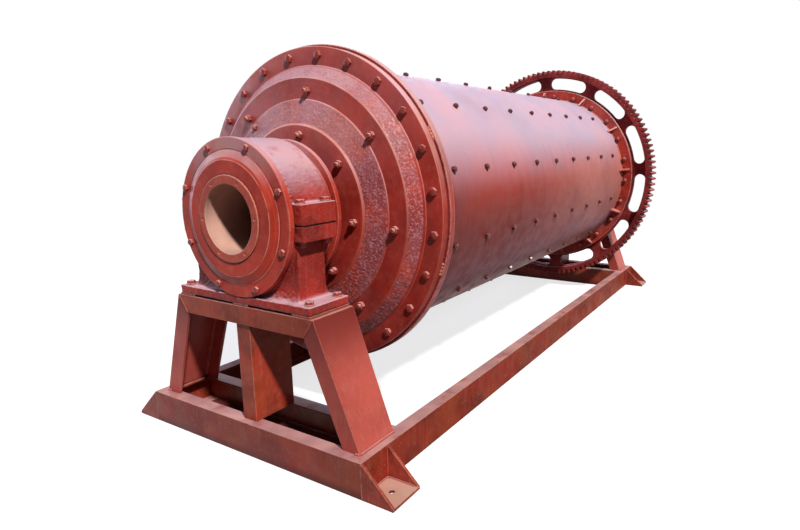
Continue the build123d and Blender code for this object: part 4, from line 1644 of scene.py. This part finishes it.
@dataclass(frozen=True)
class CastHeads:
    """Heads of the drum: flange and flat rings turned smooth, the cones between them left as cast.

    The section runs from the inside of the flange's back round to the inside again.  Each point has its depth
    out from the flange's face, its radius, its share of the casting's roughness and the skin that follows it.
    """

    section: tuple[tuple[float, float, float, Skin], ...] = (
        (-36.0, 592.0, 0.0, Skin.TURNED),
        (-36.0, 680.0, 0.0, Skin.TURNED),
        (-31.0, 680.0, 0.0, Skin.RIM),
        (-2.5, 680.0, 0.0, Skin.LIP),
        (0.0, 677.0, 0.0, Skin.TURNED),
        (0.0, 606.0, 0.0, Skin.TURNED),
        (0.6, 603.0, 0.0, Skin.LIP),
        (3.0, 601.0, 0.0, Skin.TURNED),
        (9.5, 594.0, 0.0, Skin.CAST),
        (13.0, 590.5, 1.0, Skin.CAST),
        (46.5, 555.0, 1.0, Skin.CAST),
        (49.5, 552.0, 0.25, Skin.LIP),
        (53.0, 549.0, 0.0, Skin.LIP),
        (MIDDLE_RING_DEPTH, 546.5, 0.0, Skin.TURNED),
        (MIDDLE_RING_DEPTH, 463.5, 0.0, Skin.LIP),
        (54.4, 462.5, 0.0, Skin.LIP),
        (58.0, 461.0, 0.0, Skin.CAST),
        (58.6, 458.0, 0.2, Skin.CAST),
        (60.5, 450.0, 1.0, Skin.CAST),
        (79.0, 370.0, 1.0, Skin.CAST),
        (80.5, 363.0, 0.25, Skin.LIP),
        (82.5, 360.0, 0.0, Skin.LIP),
        (87.0, 356.5, 0.0, Skin.LIP),
        (INNER_RING_DEPTH, 354.0, 0.0, Skin.TURNED),
        (INNER_RING_DEPTH, 210.0, 0.0, Skin.TURNED),
        (54.0, 210.0, 0.0, Skin.TURNED),
        (54.0, 346.0, 0.0, Skin.TURNED),
        (20.0, 453.0, 0.0, Skin.TURNED),
        (20.0, 538.0, 0.0, Skin.TURNED),
    )
    sides: int = 1020
    spacing: float = 3.7
    skin: float = 0.6
    grain: float = 7.5
    grain_height: float = 1.9
    scab: float = 26.0
    scab_height: float = 1.3

    def build(self) -> None:
        """Makes both heads, each with one finish for each kind of skin."""
        rows = self.rows()
        skins = np.repeat([skin.value for _, _, _, skin in rows], self.sides).astype(np.int32)
        finishes = (TURNED_FACE, SAND_CASTING, HIGHLIT_LIP, SKY_LIT_RIM)
        for end, name in END_NAMES.items():
            shape = Shape().skin(self.rings(head_face(end, 0.0), rows, end), looped=True)
            piece = shape.piece(f"{name}_head_casting", Body.DRUM, Slot.HEAD, *finishes, sharp=60.0)
            piece.data.polygons.foreach_set("material_index", skins)
            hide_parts(f"{name}_head")

    def rows(self) -> list[tuple[float, float, float, Skin]]:
        """The section's points, with more of them where it is rough.

        Returns:
            Depth, radius, roughness and skin of each point.
        """
        rows = []
        for start, finish in zip(self.section, self.section[1:] + self.section[:1]):
            length = hypot(finish[0] - start[0], finish[1] - start[1])
            pieces = max(1, round(length / self.spacing)) if max(start[2], finish[2]) else 1
            for share in (piece / pieces for piece in range(pieces)):
                here = (a + (b - a) * share for a, b in zip(start[:3], finish[:3]))
                rows.append((*here, start[3]))
        return rows

    def rings(self, face: float, rows: list[tuple[float, float, float, Skin]], end: int) -> np.ndarray:
        """Rings of the head round the axle, displaced by the grain of the sand where they are rough.

        Args:
            face: length along the axle of the flange's face.
            rows: depth, radius, roughness and skin of each ring.
            end: end of the mill that the head closes.

        Returns:
            The rings, one for each row.
        """
        turns = [side * 360 / self.sides for side in range(self.sides)]
        rings = []
        for index, (depth, radius, rough, _) in enumerate(rows):
            before, after = rows[index - 1], rows[(index + 1) % len(rows)]
            rise, fall = after[0] - before[0], before[1] - after[1]
            slope = hypot(rise, fall)
            points = []
            for turn in turns:
                lift = self.lift(AXLE.point(face + end * depth, radius, turn), rough) if rough else 0.0
                raised = depth + lift * fall / slope
                points.append(AXLE.point(face + end * raised, radius + lift * rise / slope, turn))
            rings.append(points)
        return np.array(rings)

    def lift(self, place: Vector, rough: float) -> float:
        """Height of the sand-cast skin over the section.

        Args:
            place: point on the section.
            rough: share of the casting's roughness there.

        Returns:
            The height in millimetres.
        """
        fine = abs(noise.noise(place / self.grain)) * 2 - 0.5
        broad = noise.noise(place / self.scab)
        return self.skin + rough * (fine * self.grain_height + broad * self.scab_height)


@dataclass(frozen=True)
class CastHousings:
    """Bearing housings as cast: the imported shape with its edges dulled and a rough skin."""

    voxel: float = 4.0
    weld_gap: float = 0.001
    grain: float = 10.0
    grain_height: float = 1.0
    scab: float = 32.0
    scab_height: float = 1.6
    sink: float = 0.5
    side_share: float = 0.45
    face_share: float = 2.0
    bore_radius: float = 240.0

    def build(self) -> None:
        """Makes the base and the cap of both housings."""
        for name in END_NAMES.values():
            for half in ("base", "cap"):
                node = f"{name}_housing_{half}"
                mesh = self.remeshed(frame["nodes"][node])
                self.roughen(mesh)
                piece = add_piece(f"{node}_casting", mesh, Body.FRAME, Slot.HOUSING, FETTLED_CASTING)
                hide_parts(node)

    def roughen(self, mesh: Mesh) -> None:
        """Moves a casting's surface in and out, most on its end faces and not at all in the bore.

        Args:
            mesh: mesh of the casting, in metres.
        """
        places, normals = (np.empty(len(mesh.vertices) * 3, dtype=np.float32) for _ in range(2))
        mesh.vertices.foreach_get("co", places)
        mesh.vertices.foreach_get("normal", normals)
        places, normals = places.reshape(-1, 3) * 1000, normals.reshape(-1, 3)
        arms = np.hypot(places[:, 1], places[:, 2] - AXLE.height)
        for index in np.flatnonzero(arms > self.bore_radius):
            place = Vector(places[index])
            fine = noise.noise(place / self.grain) * self.grain_height
            broad = noise.noise(place / self.scab) * self.scab_height
            share = self.side_share + (self.face_share - self.side_share) * abs(normals[index][0])
            places[index] += normals[index] * share * (fine + min(0.0, broad) - self.sink)
        mesh.vertices.foreach_set("co", (places / 1000).ravel())
        mesh.shade_smooth()

    def remeshed(self, source: Object) -> Mesh:
        """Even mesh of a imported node, made from voxels, which dulls every edge a little.

        Args:
            source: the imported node, which stays as it is.

        Returns:
            The new mesh, in metres.
        """
        welded = bmesh.new()
        welded.from_mesh(source.data)
        bmesh.ops.remove_doubles(welded, verts=welded.verts, dist=self.weld_gap / 1000)
        mesh = bpy.data.meshes.new("casting_blank")
        welded.to_mesh(mesh)
        welded.free()
        blank = add_object("casting_blank", mesh)
        remesh = blank.modifiers.new("skin", "REMESH")
        remesh.mode = "VOXEL"
        remesh.voxel_size = self.voxel / 1000
        made = bpy.data.meshes.new_from_object(blank.evaluated_get(bpy.context.evaluated_depsgraph_get()))
        bpy.data.objects.remove(blank)
        bpy.data.meshes.remove(mesh)
        return made


@dataclass(frozen=True)
class Lamp:
    """A lamp of the studio by its name, its power and its colour."""

    name: str
    power: float
    colour: str

    def hang(self, kind: str, travel: Vector, **settings) -> Object:
        """Hangs the lamp with its light travelling one way.

        Args:
            kind: Blender's name for the light's type.
            travel: direction in which the light travels.
            settings: other properties of the light.

        Returns:
            The lamp.
        """
        light = bpy.data.lights.new(self.name, kind)
        light.energy = self.power
        light.color = to_linear(self.colour)[:3]
        for name, value in settings.items():
            setattr(light, name, value)
        lamp = add_object(self.name, light)
        lamp.rotation_mode = "QUATERNION"
        lamp.rotation_quaternion = travel.to_track_quat("-Z", "Y")
        return lamp


@dataclass(frozen=True)
class SoftLamp(Lamp):
    """Soft rectangular lamp aimed at the mill, in metres and watts."""

    place: tuple[float, float, float]
    size: tuple[float, float]
    target: tuple[float, float, float] = (-0.6, 0.0, 0.9)

    def build(self) -> None:
        """Hangs the lamp at its place."""
        travel = Vector(self.target) - Vector(self.place)
        lamp = self.hang("AREA", travel, shape="RECTANGLE", size=self.size[0], size_y=self.size[1])
        lamp.location = self.place


@dataclass(frozen=True)
class Sun(Lamp):
    """The hard lamp: parallel light by its travel and its width in degrees."""

    travel: tuple[float, float, float]
    width: float

    def build(self) -> None:
        """Hangs the lamp."""
        self.hang("SUN", Vector(self.travel), angle=radians(self.width))


def seen(tree: NodeTree) -> NodeSocket:
    """Share of rays that see the background: from the camera, in gloss and through glass.

    Args:
        tree: node tree that takes the share.

    Returns:
        Socket with the share.
    """
    rays = add_node(tree, "ShaderNodeLightPath")
    total = rays.outputs["Is Camera Ray"]
    for name in ("Is Glossy Ray", "Is Transmission Ray"):
        pair = {0: total, 1: rays.outputs[name]}
        total = add_node(tree, "ShaderNodeMath", pair, operation="MAXIMUM").outputs[0]
    return total


@dataclass(frozen=True)
class PaleFloor(Finish):
    """Matt studio floor that shows pale, keeps the mill's shadow and fades to white round it, in metres."""

    name: str = "pale_floor"
    shown: str = "#acacac"
    bounce: str = "#6b5f55"
    glow: float = 0.74
    shadow_reach: float = 2.6
    end: float = 6.5

    def shader(self, canvas: Canvas) -> Node:
        """Glowing pale floor to the eye, and a plain dull one to the light.

        Args:
            canvas: node tree of the material.

        Returns:
            The floor's shader.
        """
        reach = add_node(canvas.tree, "ShaderNodeVectorMath", {0: canvas.place}, operation="LENGTH")
        fade = canvas.grown(reach.outputs["Value"], self.shadow_reach, self.end)
        glow = add_node(canvas.tree, "ShaderNodeMapRange", {"Value": fade, "To Min": self.glow, "To Max": 1.0})
        colour = canvas.layered(self.shown, [(BLACK, fade)])
        lit = add_node(canvas.tree, "ShaderNodeBsdfDiffuse", {"Color": colour})
        glowing = add_node(canvas.tree, "ShaderNodeEmission", {"Color": WHITE, "Strength": glow.outputs[0]})
        shown = add_node(canvas.tree, "ShaderNodeAddShader", {0: lit.outputs[0], 1: glowing.outputs[0]})
        bounce = add_node(canvas.tree, "ShaderNodeBsdfDiffuse", {"Color": self.bounce})
        both = {0: seen(canvas.tree), 1: bounce.outputs[0], 2: shown.outputs[0]}
        return add_node(canvas.tree, "ShaderNodeMixShader", both)


@dataclass(frozen=True)
class Studio:
    """Pale floor, white surround, one hard lamp, a broad soft one and two soft fills behind."""

    floor_half: float = 40.0
    floor_finish: Finish = PaleFloor()
    surround: str = "#c6d0f2"
    surround_light: float = 0.06
    lamps: tuple[Lamp, ...] = (
        SoftLamp("back_fill", 260.0, "#e6eaff", place=(7.0, 5.5, 3.2), size=(4.0, 4.0)),
        SoftLamp("left_fill", 150.0, "#e6eaff", place=(-2.5, 7.5, 2.6), size=(4.0, 4.0)),
        Sun("key_lamp", 3.9, "#fff3e8", travel=(0.31, 0.61, -0.73), width=4.0),
        SoftLamp("sky_lamp", 80.0, "#ccd6ff", place=(0.6, 1.2, 6.2), size=(8.0, 5.0)),
    )

    def build(self) -> None:
        """Lays the floor, hangs the lamps and sets the surround."""
        bpy.context.scene.view_settings.view_transform = "Standard"
        self.lay_floor()
        for lamp in self.lamps:
            lamp.build()
        self.set_surround()

    def lay_floor(self) -> None:
        """Lays the level floor under the mill."""
        sheet = bmesh.new()
        bmesh.ops.create_grid(sheet, x_segments=8, y_segments=8, size=self.floor_half)
        mesh = bpy.data.meshes.new("floor")
        sheet.to_mesh(mesh)
        sheet.free()
        mesh.materials.append(self.floor_finish.material())
        floor = add_object("floor", mesh)

    def set_surround(self) -> None:
        """White to the eye and in gloss, and a plain cool light on the mill."""
        world = bpy.data.worlds.new("surround")
        bpy.context.scene.world = world
        world.use_nodes = True
        tree = world.node_tree
        tree.nodes.clear()
        light = {"Color": self.surround, "Strength": self.surround_light}
        lit = add_node(tree, "ShaderNodeBackground", light)
        white = add_node(tree, "ShaderNodeBackground", {"Color": WHITE, "Strength": 1.0})
        mixed = add_node(tree, "ShaderNodeMixShader", {0: seen(tree), 1: lit.outputs[0], 2: white.outputs[0]})
        add_node(tree, "ShaderNodeOutputWorld", {"Surface": mixed.outputs[0]})


@dataclass(frozen=True)
class Viewpoint:
    """Camera at the photograph's viewing angle, in metres and radians."""

    place: tuple[float, float, float] = (-3.229, -1.829, 1.232)
    yaw: float = 0.546
    pitch: float = 0.179
    roll: float = 0.013
    sensor: float = 36.0
    lens: float = 25.63
    shift_x: float = -0.066
    shift_y: float = -0.0226

    def build(self) -> None:
        """Sets up the camera."""
        level = cos(self.pitch)
        ahead = Vector((level * cos(self.yaw), level * sin(self.yaw), -sin(self.pitch)))
        right = Vector((sin(self.yaw), -cos(self.yaw), 0))
        down = ahead.cross(right)
        rolled_right = cos(self.roll) * right + sin(self.roll) * down
        data = bpy.data.cameras.new("photo_view")
        data.sensor_width = self.sensor
        data.lens = self.lens
        data.shift_x = self.shift_x
        data.shift_y = self.shift_y
        camera = add_object("photo_view", data)
        camera.matrix_world = placement(Vector(self.place), rolled_right, -ahead)
        bpy.context.scene.camera = camera


def main() -> None:
    """Sets up camera and studio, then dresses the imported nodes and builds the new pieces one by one."""
    logging.basicConfig(level=logging.INFO, format="%(name)s %(message)s")
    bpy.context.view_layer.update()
    for assembly in (
        Viewpoint(),
        Studio(),
        CarriedNodes(),
        FlangeBolts(),
        HeadStuds(),
        CoverBolts(),
        LinerBolts(),
        HousingBolts(),
        CastHeads(),
        CastHousings(),
        DrumWelds(),
        FrameWelds(),
    ):
        assembly.build()


if __name__ == "__main__":
    main()
